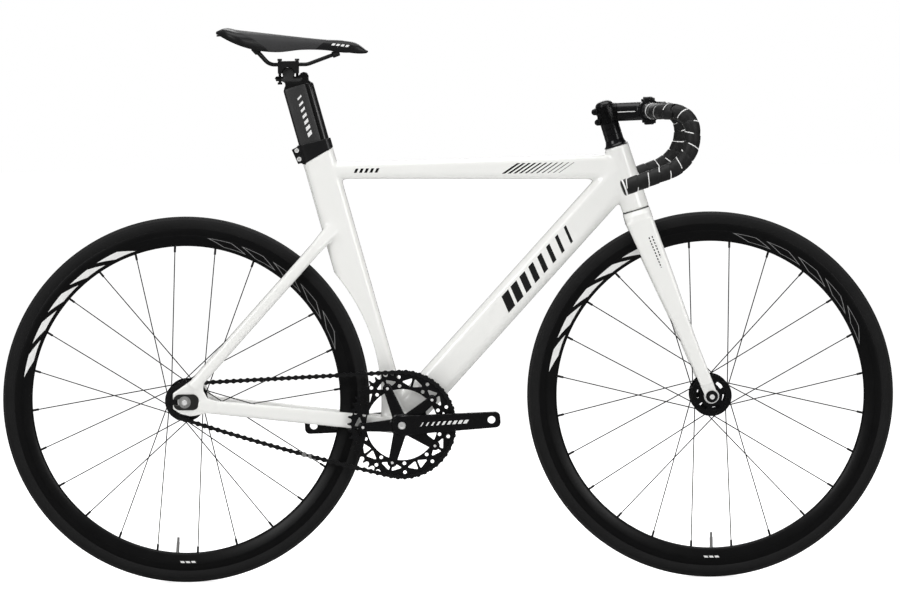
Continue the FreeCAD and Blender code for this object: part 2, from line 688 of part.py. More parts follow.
def solve_rising(value_at, target, low, high):
    # Halves the span until value_at, which falls from low to high, meets the target.
    for _ in range(60):
        middle = (low + high) / 2
        if value_at(middle) > target:
            low = middle
        else:
            high = middle
    return (low + high) / 2


def hang_links(start, end, count):
    # Equal links hung on a shallow arc between two pins.
    span = end - start
    reach = span.Length / mm.chain_pitch
    half_bend = solve_rising(lambda bend: math.sin(count * bend) / math.sin(bend), reach,
                             math.pi / count / 1000, math.pi / count)
    heading = math.atan2(span.z, span.x) - (count - 1) * half_bend
    places = []
    place = start
    for index in range(count - 1):
        place = place + side_direction(heading + 2 * half_bend * index) * mm.chain_pitch
        places.append(place)
    return places


def chain_pins():
    span = rear_axle_at - bracket_at
    heading = math.atan2(span.z, span.x)
    spread = math.acos((ring_pitch_radius - cog_pitch_radius) / span.Length)
    upper = heading - spread
    lower = heading + spread
    ring_step = 2 * math.pi / mm.ring_teeth
    cog_step = 2 * math.pi / mm.cog_teeth
    wrapped = int((2 * math.pi - 2 * spread) / ring_step) + 1
    ring_pins = [bracket_at + side_direction(upper - index * ring_step) * ring_pitch_radius
                 for index in range(wrapped)]
    leave = rear_axle_at + side_direction(upper) * cog_pitch_radius
    run = leave - ring_pins[0]
    run_count = int(run.Length / mm.chain_pitch)
    way = run * (1 / run.Length)
    upper_pins = [ring_pins[0] + way * (mm.chain_pitch * (index + 1)) for index in range(run_count)]
    to_last = upper_pins[-1] - rear_axle_at
    distance = to_last.Length
    opening = math.acos((cog_pitch_radius ** 2 + distance ** 2 - mm.chain_pitch ** 2)
                        / (2 * cog_pitch_radius * distance))
    first_cog = math.atan2(to_last.z, to_last.x) + opening
    cog_pins = []
    angle = first_cog
    while angle < lower:
        cog_pins.append(rear_axle_at + side_direction(angle) * cog_pitch_radius)
        angle += cog_step
    low_span = ring_pins[-1] - cog_pins[-1]
    low_count = math.ceil(low_span.Length / mm.chain_pitch)
    if (len(ring_pins) + run_count + len(cog_pins) + low_count - 1) % 2:
        low_count += 1
    low_pins = hang_links(cog_pins[-1], ring_pins[-1], low_count)
    pins = upper_pins + cog_pins + low_pins + list(reversed(ring_pins))
    return pins, upper, first_cog


def link_plate(low, high):
    start = Vector()
    end = ahead * mm.chain_pitch
    rounds = [rod(place + across * low, place + across * high, mm.link_plate_radius)
              for place in (start, end)]
    waist = Part.makeBox(mm.chain_pitch, high - low, 2 * mm.link_waist_radius,
                         Vector(0, low, -mm.link_waist_radius))
    return rounds[0].fuse([rounds[1], waist])


def link_templates():
    inside = mm.chain_inner_width / 2
    inner_face = inside + mm.link_plate
    outer_low = inner_face + mm.link_plate_gap
    outer_face = outer_low + mm.link_plate
    pin_end = outer_face + mm.pin_proud
    ends = (Vector(), ahead * mm.chain_pitch)
    inner = link_plate(inside, inner_face).fuse(link_plate(-inner_face, -inside))
    outer = link_plate(outer_low, outer_face).fuse(link_plate(-outer_face, -outer_low))
    for place in ends:
        inner = inner.fuse(rod(place - across * inside, place + across * inside, mm.roller_radius))
        outer = outer.fuse(rod(place - across * pin_end, place + across * pin_end, mm.pin_radius))
    for place in ends:
        inner = inner.cut(rod(place - across * pin_end, place + across * pin_end,
                              mm.pin_radius + mm.pin_gap))
    return inner.removeSplitter(), outer.removeSplitter()


def toothed_face(teeth, radius, phase, inner_radius):
    # Round seats for the rollers, with a straight-sided tooth between two seats.
    seat = mm.roller_radius + mm.roller_seat_gap
    tip_radius = radius + mm.tooth_height
    tip_half = mm.tooth_tip_width / 2 / tip_radius
    step = 2 * math.pi / teeth
    edges = []
    for index in range(int(teeth)):
        angle = phase + index * step
        out = side_direction(angle)
        along = side_direction(angle + math.pi / 2)
        middle = out * radius
        rising = middle + along * seat
        edges.append(Part.Arc(middle - along * seat, middle - out * seat, rising).toShape())
        tip_start = side_direction(angle + step / 2 - tip_half) * tip_radius
        tip_end = side_direction(angle + step / 2 + tip_half) * tip_radius
        following = angle + step
        next_seat = side_direction(following) * radius - side_direction(following + math.pi / 2) * seat
        edges.append(Part.makeLine(rising, tip_start))
        edges.append(Part.makeLine(tip_start, tip_end))
        edges.append(Part.makeLine(tip_end, next_seat))
    outline = Part.Wire(edges)
    bore = Part.Wire([Part.makeCircle(inner_radius, Vector(), across)])
    return Part.Face(outline).cut(Part.Face(bore))


def across_edges(plate):
    return [edge for edge in plate.Edges if abs(edge.tangentAt(edge.FirstParameter).y) > across_share]


def ring_windows(low, high):
    # Truss windows: in each cell a triangle on either side and a small round hole top and bottom.
    cell_count = int(mm.spider_count * 2)
    cell = 2 * math.pi / cell_count
    web = math.radians(mm.ring_web_angle)
    middle_radius = (mm.ring_band_inner + mm.ring_band_outer) / 2
    tools = []
    for index in range(cell_count):
        centre = crank_turn + (index + 0.5) * cell
        for side in (-1, 1):
            edge = centre + side * (cell / 2 - web / 2)
            apex = centre + side * web
            corners = [side_direction(edge) * mm.ring_band_inner, side_direction(edge) * mm.ring_band_outer,
                       side_direction(apex) * middle_radius]
            closed = [corner + across * low for corner in corners]
            face = Part.Face(Part.makePolygon(closed + closed[:1]))
            window = face.extrude(across * (high - low))
            tools.append(window.makeFillet(mm.ring_window_corner, across_edges(window)))
        for radius in (mm.ring_band_inner, mm.ring_band_outer):
            place = side_direction(centre) * radius
            tools.append(rod(place + across * low, place + across * high, mm.link_waist_radius))
    return tools


def build_drive():
    pins, upper, first_cog = chain_pins()
    inner, outer = link_templates()
    inner_links = []
    outer_links = []
    for index, start in enumerate(pins):
        end = pins[(index + 1) % len(pins)]
        turn = math.atan2(end.z - start.z, end.x - start.x)
        template = outer if index % 2 else inner
        links = outer_links if index % 2 else inner_links
        links.append(turned_about_axle(template, start + chain_shift, turn))
    shape_node("chain_inner_links", Part.makeCompound(inner_links))
    shape_node("chain_outer_links", Part.makeCompound(outer_links))
    half = mm.tooth_thickness / 2
    face = toothed_face(mm.cog_teeth, cog_pitch_radius, first_cog, mm.cog_thread_radius)
    cog = face.extrude(across * mm.tooth_thickness)
    shape_node("rear_cog", cog, rear_axle_at + chain_shift - across * half)
    ring_shape = toothed_face(mm.ring_teeth, ring_pitch_radius, upper, mm.ring_inner_radius)
    ring_shape = ring_shape.extrude(across * mm.tooth_thickness)
    pads = around(rod(Vector(mm.ring_bolt_circle_radius, 0, 0),
                      Vector(mm.ring_bolt_circle_radius, mm.tooth_thickness, 0), mm.spider_pad_radius),
                  int(mm.spider_count), crank_turn + math.pi / mm.spider_count)
    windows = ring_windows(0, mm.tooth_thickness)
    bolt_hole = rod(Vector(mm.ring_bolt_circle_radius, 0, 0),
                    Vector(mm.ring_bolt_circle_radius, mm.tooth_thickness, 0), mm.ring_bolt_radius)
    bolt_holes = around(bolt_hole, int(mm.spider_count), crank_turn + math.pi / mm.spider_count)
    ring_shape = ring_shape.cut(windows).fuse(pads).cut(bolt_holes).removeSplitter()
    shape_node("chainring", ring_shape, bracket_at + chain_shift - across * half)
    lock_low = -(size.chain_line + size.tooth_thickness / 2 + size.lockring_width)
    lock_high = -(size.chain_line + size.tooth_thickness / 2)
    node("cog_lockring", ring("cog_lockring", size.cog_thread_radius, size.lockring_radius, lock_low,
                              lock_high, rear_axle_at))


build_drive()

# Cranks and bottom bracket


def crank_arm(way, side):
    low, high = sorted((side * (mm.crank_face - mm.crank_thickness), side * mm.crank_face))
    tip = bracket_at + way * mm.crank_length
    arm = capsule(bracket_at, mm.crank_root_radius, tip, mm.crank_tip_radius, low, high)
    arm = arm.makeFillet(mm.crank_fillet, arm.Edges)
    root_face = side * (mm.shell_width / 2 + mm.cup_flange_width + mm.body_gap)
    boss = rod(bracket_at + across * root_face, bracket_at + across * (side * mm.crank_face),
               mm.crank_root_radius)
    return arm.fuse(boss)


def square_socket(half_length):
    half = mm.spindle_square / 2
    box = Part.makeBox(mm.spindle_square, 2 * half_length, mm.spindle_square,
                       Vector(-half, -half_length, -half))
    return turned_about_axle(box, bracket_at, crank_turn)


def pedal_hole(way):
    tip = bracket_at + way * mm.crank_length
    return rod(tip - across * (2 * mm.crank_face), tip + across * (2 * mm.crank_face), mm.pedal_hole_radius)


def build_cranks():
    socket_half = mm.crank_face - mm.bolt_head_length / 2
    square_half = socket_half - mm.bolt_head_length
    spindle_inner = mm.shell_width / 2 + mm.cup_flange_width
    socket = square_socket(square_half)
    bolts = []
    shafts = []
    for side in sides.values():
        way = across * side
        start = bracket_at + way * square_half
        end = bracket_at + way * (square_half + mm.bolt_head_length)
        bolts.append(rod(start, end, mm.bolt_head_radius))
        shafts.append(rod(start, bracket_at + way * mm.crank_face, mm.bolt_head_radius))
    ring_outer = mm.chain_line + mm.tooth_thickness / 2
    spider_low = -(ring_outer + mm.spider_thickness)
    right = crank_arm(crank_ahead, -1)
    for index in range(int(mm.spider_count)):
        angle = crank_turn + math.pi / mm.spider_count + index * 2 * math.pi / mm.spider_count
        tip = bracket_at + side_direction(angle) * mm.ring_bolt_circle_radius
        arm = capsule(bracket_at, mm.spider_width / 2 + mm.crank_fillet, tip, mm.spider_pad_radius,
                      spider_low, -ring_outer)
        hole = rod(tip + across * spider_low, tip - across * ring_outer, mm.ring_bolt_radius)
        right = right.fuse(arm).cut(hole)
    arm_middle = bracket_at - across * (mm.crank_face - mm.crank_thickness / 2)
    hub = rod(bracket_at + across * spider_low, arm_middle, mm.crank_root_radius)
    right = right.fuse(hub).cut([socket] + shafts + [pedal_hole(crank_ahead)])
    left = crank_arm(-crank_ahead, 1).cut([socket] + shafts + [pedal_hole(-crank_ahead)])
    shape_node("crank_arm_right", right.removeSplitter())
    shape_node("crank_arm_left", left.removeSplitter())
    inner_ends = (bracket_at - across * spindle_inner, bracket_at + across * spindle_inner)
    middle = rod(*inner_ends, mm.spindle_radius)
    round_span = rod(*inner_ends, mm.crank_root_radius)
    square = square_socket(square_half).cut(round_span)
    shape_node("crank_spindle", middle.fuse(square).removeSplitter())
    shape_node("crank_bolts", Part.makeCompound(bolts))
    ring_bolts = []
    for index in range(int(mm.spider_count)):
        angle = crank_turn + math.pi / mm.spider_count + index * 2 * math.pi / mm.spider_count
        tip = bracket_at + side_direction(angle) * mm.ring_bolt_circle_radius
        inner_face = -(mm.chain_line - mm.tooth_thickness / 2)
        shank = rod(tip + across * spider_low, tip + across * inner_face, mm.ring_bolt_radius)
        caps = []
        for face, way in ((spider_low, -1), (inner_face, 1)):
            start = tip + across * face
            end = start + across * (way * mm.ring_bolt_head_length)
            caps.append(rod(start, end, mm.ring_bolt_head_radius))
        ring_bolts.append(shank.fuse(caps).removeSplitter())
    shape_node("chainring_bolts", Part.makeCompound(ring_bolts))


def build_bracket():
    half = size.shell_width / 2
    bore = size.shell_radius - size.shell_wall
    shell = ring("bottom_bracket_shell", bore, size.shell_radius, -half, half, bracket_at)
    node("bottom_bracket_shell", shell)
    cups = []
    bearings = []
    cup_bore = bore - size.cup_wall
    shaft = size.spindle_radius + size.running_gap
    for side, sign in sides.items():
        def along(value):
            return value if sign > 0 else -value
        rim = half + size.cup_flange_width
        deep = half - size.cup_depth
        loop = [(cup_bore, along(rim)), (size.cup_flange_radius, along(rim)),
                (size.cup_flange_radius, along(half)), (bore, along(half)), (bore, along(deep)),
                (cup_bore, along(deep))]
        cups.append(turned("cup_" + side, [loop], bracket_at))
        bearing_end = half - size.bracket_bearing_width
        low, high = (bearing_end, half) if sign > 0 else (-half, -bearing_end)
        bearings.append(ring("bracket_bearing_" + side, shaft, cup_bore, low, high, bracket_at))
    group_node("bottom_bracket_cups", cups)
    group_node("bottom_bracket_bearings", bearings)


build_cranks()
build_bracket()

# Frame tubes


def build_head():
    seat_low = size.head_low_radius - size.head_cup_wall
    seat_top = size.head_top_radius - size.head_cup_wall
    shelf = size.head_length - size.headset_height
    tube = turned("head_tube", [[
        (seat_low, 0), (size.head_low_radius, 0), (size.head_top_radius, size.head_length),
        (seat_top, size.head_length), (seat_top, shelf), (size.head_bore_radius, shelf),
        (size.head_bore_radius, size.headset_height), (seat_low, size.headset_height),
    ]], crown_at, steer_up)
    node("head_tube", tube)
    low = ring("headset_bearing_low", size.race_seat_radius + size.running_gap, seat_low, 0,
               size.headset_height, crown_at, steer_up)
    top = ring("headset_bearing_top", size.steerer_radius + size.running_gap, seat_top, shelf,
               size.head_length, crown_at, steer_up)
    group_node("headset_bearings", [low, top])


def head_envelope():
    return Part.makeCone(mm.head_low_radius, mm.head_top_radius, mm.head_length, crown_at, steer_up)


def shell_envelope():
    half = mm.shell_width / 2
    return rod(bracket_at - across * half, bracket_at + across * half, mm.shell_radius)


def wheel_cut(extra):
    radius = wheel_radius + mm.wheel_cut_gap + extra
    return rod(rear_axle_at - across * mm.seat_tube_depth, rear_axle_at + across * mm.seat_tube_depth, radius)


def seat_section(height, shrink, corner):
    return (seat_point(height, seat_middle), seat_front, mm.seat_tube_depth - 2 * shrink,
            mm.seat_tube_width - 2 * shrink, corner)


def seat_profile(front_low, front_high, rear_low, rear_high):
    # Side-view limits of what is cut from the seat tube's section.
    front = mm.seat_tube_lead + mm.cut_overrun
    rear = mm.seat_tube_lead - mm.seat_tube_depth - mm.cut_overrun
    slope_low = (front_low - rear_low) / mm.seat_tube_depth
    slope_high = (front_high - rear_high) / mm.seat_tube_depth
    over = mm.cut_overrun
    points = [
        seat_point(front_low + slope_low * over, front),
        seat_point(front_high + slope_high * over, front),
        seat_point(rear_high - slope_high * over, rear),
        seat_point(rear_low - slope_low * over, rear),
    ]
    return flat_prism(points, -mm.seat_tube_width, mm.seat_tube_width)


def seat_envelope():
    top = mm.seat_tube_front_height + mm.cut_overrun
    block = loft([seat_section(0, 0, mm.seat_tube_corner), seat_section(top, 0, mm.seat_tube_corner)])
    limits = seat_profile(0, mm.seat_tube_front_height, 0, seat_rear_height)
    return block.common(limits).cut(wheel_cut(0)).cut(shell_envelope())


def build_seat_tube():
    envelope = seat_envelope()
    wall = mm.tube_wall_thickness
    top = mm.seat_tube_front_height + mm.cut_overrun
    bore = loft([seat_section(0, wall, mm.seat_tube_corner - wall),
                 seat_section(top, wall, mm.seat_tube_corner - wall)])
    bore = bore.cut(wheel_cut(wall))
    bore = largest(bore)
    floor = shell_envelope()
    tube = envelope.cut(bore).cut(floor)
    shape_node("seat_tube", largest(tube))
    return envelope


def over_way(way):
    return Vector(-way.z, 0, way.x)


def build_top_tube(seat_block):
    seat_end = seat_point(seat_rear_height - mm.top_tube_seat_drop, seat_middle)
    head_end = steer_point(mm.head_length - mm.top_tube_drop, 0)
    over = over_way((head_end - seat_end).normalize())
    sections = [
        (seat_end, over, mm.top_tube_seat_depth, mm.top_tube_seat_width, mm.top_tube_corner),
        (head_end, over, mm.top_tube_head_depth, mm.top_tube_head_width, mm.top_tube_corner),
    ]
    outer, inner = hollow_loft(sections, mm.tube_wall_thickness)
    envelope = outer.cut([head_envelope(), seat_block])
    envelope = largest(envelope)
    shape_node("top_tube", envelope.cut(inner))
    return envelope


def build_down_tube(seat_block, top_block):
    low = bracket_at + upright * mm.down_tube_bracket_rise
    high = steer_point(mm.down_tube_head_rise, 0)
    over = over_way((high - low).normalize())
    sections = [(place, over, mm.down_tube_depth, mm.down_tube_width, mm.down_tube_corner)
                for place in (low, high)]
    outer, inner = hollow_loft(sections, mm.tube_wall_thickness)
    sweep_radius = mm.crown_width / 2 + mm.crown_sweep_gap
    crown_room = rod(steer_point(-mm.crown_height, 0), crown_at, sweep_radius)
    tube = outer.cut([head_envelope(), shell_envelope(), seat_block, top_block, crown_room]).cut(inner)
    shape_node("down_tube", largest(tube))


def dropout_outline(side):
    inner = side * mm.rear_spacing / 2
    outer = side * (mm.rear_spacing / 2 + mm.dropout_thickness)
    corners = [
        (-mm.dropout_rear, -mm.dropout_heel), (-mm.dropout_rear, mm.dropout_heel),
        (mm.dropout_heel / 2, mm.dropout_top), (mm.dropout_heel * 2, mm.dropout_top - mm.dropout_heel / 2),
        (mm.dropout_front, mm.dropout_heel / 2), (mm.dropout_front, -mm.dropout_bottom),
        (-mm.dropout_heel, -mm.dropout_bottom),
    ]
    points = [rear_axle_at + ahead * along + upright * rising for along, rising in corners]
    low, high = sorted((inner, outer))
    return flat_prism(points, low, high)


def axle_slot(at, radius, way, reach, low, high):
    # A slot open along way, round at its closed end about the axle.
    gap = radius + mm.slot_clearance
    over = across.cross(way) * gap
    corners = [at + over, at + over + way * reach, at - over + way * reach, at - over]
    closed = [corner + across * (low - corner.y) for corner in corners]
    block = Part.Face(Part.makePolygon(closed + closed[:1])).extrude(across * (high - low))
    return block.fuse(rod(at + across * low, at + across * high, gap))


def build_dropouts():
    plates = {}
    inserts = []
    for name, side in sides.items():
        far = side * (mm.rear_spacing / 2 + mm.dropout_thickness + mm.insert_thickness)
        low, high = sorted((0, far))
        slot = axle_slot(rear_axle_at, mm.rear_axle_radius, -ahead, mm.cut_overrun, low, high)
        plates[name] = dropout_outline(side)
        shape_node("dropout_" + name, plates[name].cut(slot))
        face = side * (mm.rear_spacing / 2 + mm.dropout_thickness)
        middle = rear_axle_at + ahead * (mm.insert_length / 2 - mm.insert_rear)
        middle = middle + across * (face + side * mm.insert_thickness / 2)
        plate = Part.makeBox(mm.insert_length, mm.insert_thickness, mm.insert_height,
                             middle - Vector(mm.insert_length, mm.insert_thickness, mm.insert_height) / 2)
        plate = plate.makeFillet(mm.insert_corner, across_edges(plate))
        inserts.append(plate.cut(slot))
    shape_node("dropout_inserts", Part.makeCompound(inserts))
    return plates


def build_stays(seat_block, plates):
    shell = shell_envelope()
    sag = upright * mm.chain_stay_drop
    root = bracket_at - ahead * mm.shell_radius / 2 - sag
    along = (bracket_at - rear_axle_at).normalize()
    over = over_way(along)
    for name, side in sides.items():
        plate_half = mm.rear_spacing / 2 + mm.dropout_thickness / 2
        tip = rear_axle_at - sag + along * (mm.dropout_front - mm.dropout_heel) + across * (side * plate_half)
        waist = rear_axle_at - sag + along * mm.chain_stay_waist_reach
        waist = waist + across * (side * mm.chain_stay_waist_half)
        end = root + across * (side * mm.chain_stay_root_half)
        sections = [
            (tip, over, mm.chain_stay_tip_height, mm.chain_stay_width, mm.chain_stay_corner),
            (waist, over, mm.chain_stay_height, mm.chain_stay_width, mm.chain_stay_corner),
            (end, over, mm.chain_stay_height, mm.chain_stay_width, mm.chain_stay_corner),
        ]
        outer, inner = hollow_loft(sections, mm.stay_wall)
        stay = outer.cut(inner).cut([shell, plates[name]])
        stay = largest(stay)
        shape_node("chain_stay_" + name, largest(stay.cut(seat_block)))
        join = seat_point(mm.seat_stay_join_height, seat_middle)
        foot = rear_axle_at + upright * (mm.dropout_top - mm.dropout_heel) + ahead * mm.dropout_heel
        rise = (join - foot).normalize()
        stay_points = [
            foot + across * (side * plate_half),
            foot + rise * mm.seat_stay_waist_reach + across * (side * mm.seat_stay_waist_half),
            join + across * (side * mm.seat_stay_join_half),
        ]
        sections = [(place, over_way(rise), mm.seat_stay_depth, mm.seat_stay_width, mm.seat_stay_corner)
                    for place in stay_points]
        outer, inner = hollow_loft(sections, mm.stay_wall)
        stay = outer.cut(inner).cut([seat_block, plates[name]])
        shape_node("seat_stay_" + name, largest(stay))


build_head()
seat_block = build_seat_tube()
top_block = build_top_tube(seat_block)
build_down_tube(seat_block, top_block)
dropout_plates = build_dropouts()
build_stays(seat_block, dropout_plates)

# Fork


def blade_line(drop):
    # Forward offset of the straight blade at a drop below the crown.
    return mm.fork_offset * (drop - mm.crown_height) / (mm.axle_to_crown - mm.crown_height)


def blade_half(drop):
    tip_half = mm.front_spacing / 2 + mm.fork_tip_thickness / 2
    reach = (drop - mm.crown_height) / (mm.blade_tip_drop - mm.crown_height)
    return mm.blade_root_half + (tip_half - mm.blade_root_half) * reach


def build_crown():
    top = steer_point(-mm.crown_gap, 0)
    low_ring = mm.head_low_radius
    top_wire = rounded_wire(top, steer_front, 2 * low_ring, 2 * low_ring, low_ring - mm.crown_gap)
    low_wire = rounded_wire(steer_point(-mm.crown_height, 0), steer_front, mm.crown_depth, mm.crown_width,
                            mm.crown_corner)
    crown = Part.makeLoft([top_wire, low_wire], True, True)
    arch_radius = wheel_radius + mm.crown_tyre_gap
    arch_half = across * mm.crown_arch_width / 2
    arch = rod(front_axle_at - arch_half, front_axle_at + arch_half, arch_radius)
    race = rod(top, steer_point(mm.race_seat_length, 0), mm.race_seat_radius)
    steerer_end = stem_low + mm.stem_clamp_height - mm.steerer_top_gap
    steerer = rod(top, steer_point(steerer_end, 0), mm.steerer_radius)
    crown = crown.fuse([race, steerer]).cut(arch)
    bore = rod(steer_point(-mm.crown_height / 2, 0), steer_point(steerer_end, 0),
               mm.steerer_radius - mm.tube_wall_thickness)
    shape_node("fork_crown", crown.cut(bore).removeSplitter())


def build_blades():
    drops = [
        (mm.crown_height, mm.blade_root_depth, mm.blade_root_width),
        (mm.blade_mid_drop, mm.blade_mid_depth, mm.blade_root_width),
        (mm.blade_low_drop, mm.blade_low_depth, (mm.blade_root_width + mm.blade_tip_width) / 2),
        (mm.blade_tip_drop, mm.blade_tip_depth, mm.blade_tip_width),
    ]
    for name, side in sides.items():
        sections = []
        for drop, depth, width in drops:
            at = steer_point(-drop, blade_line(drop), side * blade_half(drop))
            sections.append((at, steer_front, depth, width, width * mm.blade_corner_share))
        blade = loft(sections, False)
        inner = side * mm.front_spacing / 2
        outer = side * (mm.front_spacing / 2 + mm.fork_tip_thickness)
        low, high = sorted((inner, outer))
        upper = steer_point(-mm.blade_tip_drop, blade_line(mm.blade_tip_drop))
        tip = capsule(upper, mm.blade_tip_depth / 2, front_axle_at, mm.fork_tip_radius, low, high)
        low_slot, high_slot = sorted((0, outer + side * mm.nut_flange_height))
        slot = axle_slot(front_axle_at, mm.front_axle_radius, -upright, mm.cut_overrun, low_slot, high_slot)
        hub_room = rod(front_axle_at, front_axle_at + across * inner, mm.cut_overrun)
        shape_node("fork_blade_" + name, blade.fuse(tip).cut([slot, hub_room]).removeSplitter())


build_crown()
build_blades()

# Headset spacers, stem and handlebar


def build_stack():
    bore = size.steerer_radius
    start = size.head_length + size.body_gap
    cover_end = size.head_length + size.cover_height
    cover = turned("headset_cone_cover", [[
        (bore, start), (size.cover_low_radius, start), (size.cover_top_radius, cover_end), (bore, cover_end),
    ]], crown_at, steer_up)
    pieces = [cover]
    low = cover_end
    for index in range(int(mm.spacer_count)):
        high = low + size.spacer_height
        pieces.append(ring("headset_spacer_{}".format(index + 1), bore, size.spacer_radius, low, high,
                           crown_at, steer_up))
        low = high
    group_node("headset_spacers", pieces)
    top = low + size.stem_clamp_height
    cap_top = top + size.top_cap_height
    post_end = top - size.steerer_top_gap
    bolt = size.steerer_radius - size.tube_wall_thickness
    node("top_cap", turned("top_cap", [[
        (0, post_end), (bolt, post_end), (bolt, top), (size.stem_clamp_radius, top),
        (size.stem_clamp_radius - size.top_cap_height / 2, cap_top), (0, cap_top),
    ]], crown_at, steer_up))


def stem_bolt(start, way, length):
    head = rod(start, start - way * mm.stem_bolt_head_length, mm.stem_bolt_head_radius)
    return rod(start, start + way * length, mm.stem_bolt_radius).fuse(head).removeSplitter()


def build_stem():
    clamp_ends = (steer_point(stem_low, 0), steer_point(stem_low + mm.stem_clamp_height, 0))
    clamp = rod(*clamp_ends, mm.stem_clamp_radius)
    body = loft([
        (stem_at, stem_over, mm.stem_body_height, mm.stem_body_width, mm.stem_body_corner),
        (bar_at, stem_over, mm.stem_body_height, mm.stem_body_width, mm.stem_body_corner),
    ])
    outer_radius = mm.bar_clamp_radius + mm.bar_clamp_wall
    half = mm.bar_clamp_width / 2
    sleeve = rod(bar_at - across * half, bar_at + across * half, outer_radius)
    lugs = []
    for sign in (-1, 1):
        at = bar_at + stem_over * (sign * mm.faceplate_bolt_rise)
        lugs.append(loft([(at + stem_ahead * place, stem_over, 2 * mm.faceplate_lug, mm.bar_clamp_width,
                           mm.faceplate_lug / 2) for place in (-mm.stem_bolt_length / 2, mm.faceplate_lug)]))
    ear_at = steer_point(stem_mid, -mm.stem_clamp_radius)
    ear = loft([(steer_point(stem_low + place, -mm.stem_clamp_radius), steer_front, mm.clamp_ear_depth,
                 mm.clamp_ear_width, mm.clamp_ear_depth / 3)
                for place in (0, mm.stem_clamp_height)])
    whole = clamp.fuse([body, sleeve, ear] + lugs)
    bar_bore = rod(bar_at - across * mm.cut_overrun, bar_at + across * mm.cut_overrun, mm.bar_clamp_radius)
    steerer_bore = rod(*clamp_ends, mm.steerer_radius)
    stack_room = rod(steer_point(stem_low - spacers_height, 0), steer_point(stem_low, 0),
                     mm.spacer_radius + mm.body_gap)
    bolts = []
    for rise in (-1, 1):
        for side in (-1, 1):
            start = bar_at + stem_over * (rise * mm.faceplate_bolt_rise) + stem_ahead * mm.faceplate_lug
            start = start + across * (side * mm.faceplate_bolt_half)
            bolts.append(stem_bolt(start, -stem_ahead, mm.stem_bolt_length))
    for sign in (-1, 1):
        at = ear_at + steer_up * (sign * mm.stem_clamp_height / 4) - steer_front * mm.clamp_ear_depth / 5
        start = at - across * mm.clamp_ear_width / 2
        bolts.append(stem_bolt(start, across, mm.clamp_ear_width))
    whole = whole.cut([bar_bore, steerer_bore, stack_room] + bolts)
    front_face = bar_at + stem_ahead * (mm.faceplate_gap / 2)
    reach = mm.cut_overrun
    split = loft([(front_face + stem_ahead * place, stem_over, 2 * reach, 2 * reach, reach / 2)
                  for place in (0, reach)])
    gap = loft([(front_face - stem_ahead * place, stem_over, 2 * reach, 2 * reach, reach / 2)
                for place in (0, mm.faceplate_gap)])
    shape_node("stem_faceplate", largest(whole.common(split)))
    rear = whole.cut([split, gap])
    shape_node("stem", largest(rear))
    shape_node("stem_bolts", Part.makeCompound(bolts))


def bar_points(side, start_half):
    def place(lead, half, drop):
        return bar_at + ahead * lead + across * (side * half) - upright * drop
    return [
        place(0, start_half, 0),
        place(0, mm.bar_flat_half, 0),
        place(mm.bar_shoulder_lead, mm.bar_shoulder_half, 0),
        place(mm.bar_reach, mm.bar_hook_half, 0),
        place(mm.bar_reach, mm.bar_drop_half, mm.bar_hook_drop),
        place(-mm.bar_end_back, mm.bar_end_half, mm.bar_end_drop),
    ]


def build_bar():
    radii = [mm.bar_flat_bend, mm.bar_shoulder_bend, mm.bar_hook_bend, mm.bar_drop_bend]
    whole_points = list(reversed(bar_points(-1, 0)[1:])) + bar_points(1, 0)[1:]
    whole_path = rounded_path(whole_points, list(reversed(radii)) + radii)
    tapes = []
    plugs = []
    cones = []
    for side in sides.values():
        points = bar_points(side, mm.tape_start_half)
        tape_path = rounded_path(points, radii)
        sleeve = swept(tape_path, mm.bar_radius + mm.tape_thickness)
        tapes.append(sleeve.cut(swept(tape_path, mm.bar_radius)))
        end_way = (points[-1] - points[-2]).normalize()
        end = points[-1]
        plug = rod(end, end + end_way * mm.plug_length, mm.plug_radius)
        shank = rod(end - end_way * mm.plug_depth, end, mm.bar_radius - mm.bar_wall)
        plugs.append(plug.fuse(shank).removeSplitter())
        way = across * side
        start = bar_at + way * mm.bar_bulge_half
        cones.append(Part.makeCone(mm.bar_clamp_radius, mm.bar_radius, mm.bar_taper_length, start, way))
    bulge_half = across * mm.bar_bulge_half
    bulge = rod(bar_at - bulge_half, bar_at + bulge_half, mm.bar_clamp_radius)
    bar = swept(whole_path, mm.bar_radius).fuse([bulge] + cones)
    shape_node("handlebar", bar.cut(swept(whole_path, mm.bar_radius - mm.bar_wall)))
    shape_node("bar_tape", Part.makeCompound(tapes))
    shape_node("bar_end_plugs", Part.makeCompound(plugs))


build_stack()
build_stem()
build_bar()

# Seatpost, its clamp and the saddle


def post_section(height, shrink=0):
    inset = mm.tube_wall_thickness + mm.post_gap + shrink
    return (seat_point(height, seat_middle), seat_front, mm.seat_tube_depth - 2 * inset,
            mm.seat_tube_width - 2 * inset, mm.post_corner - shrink)


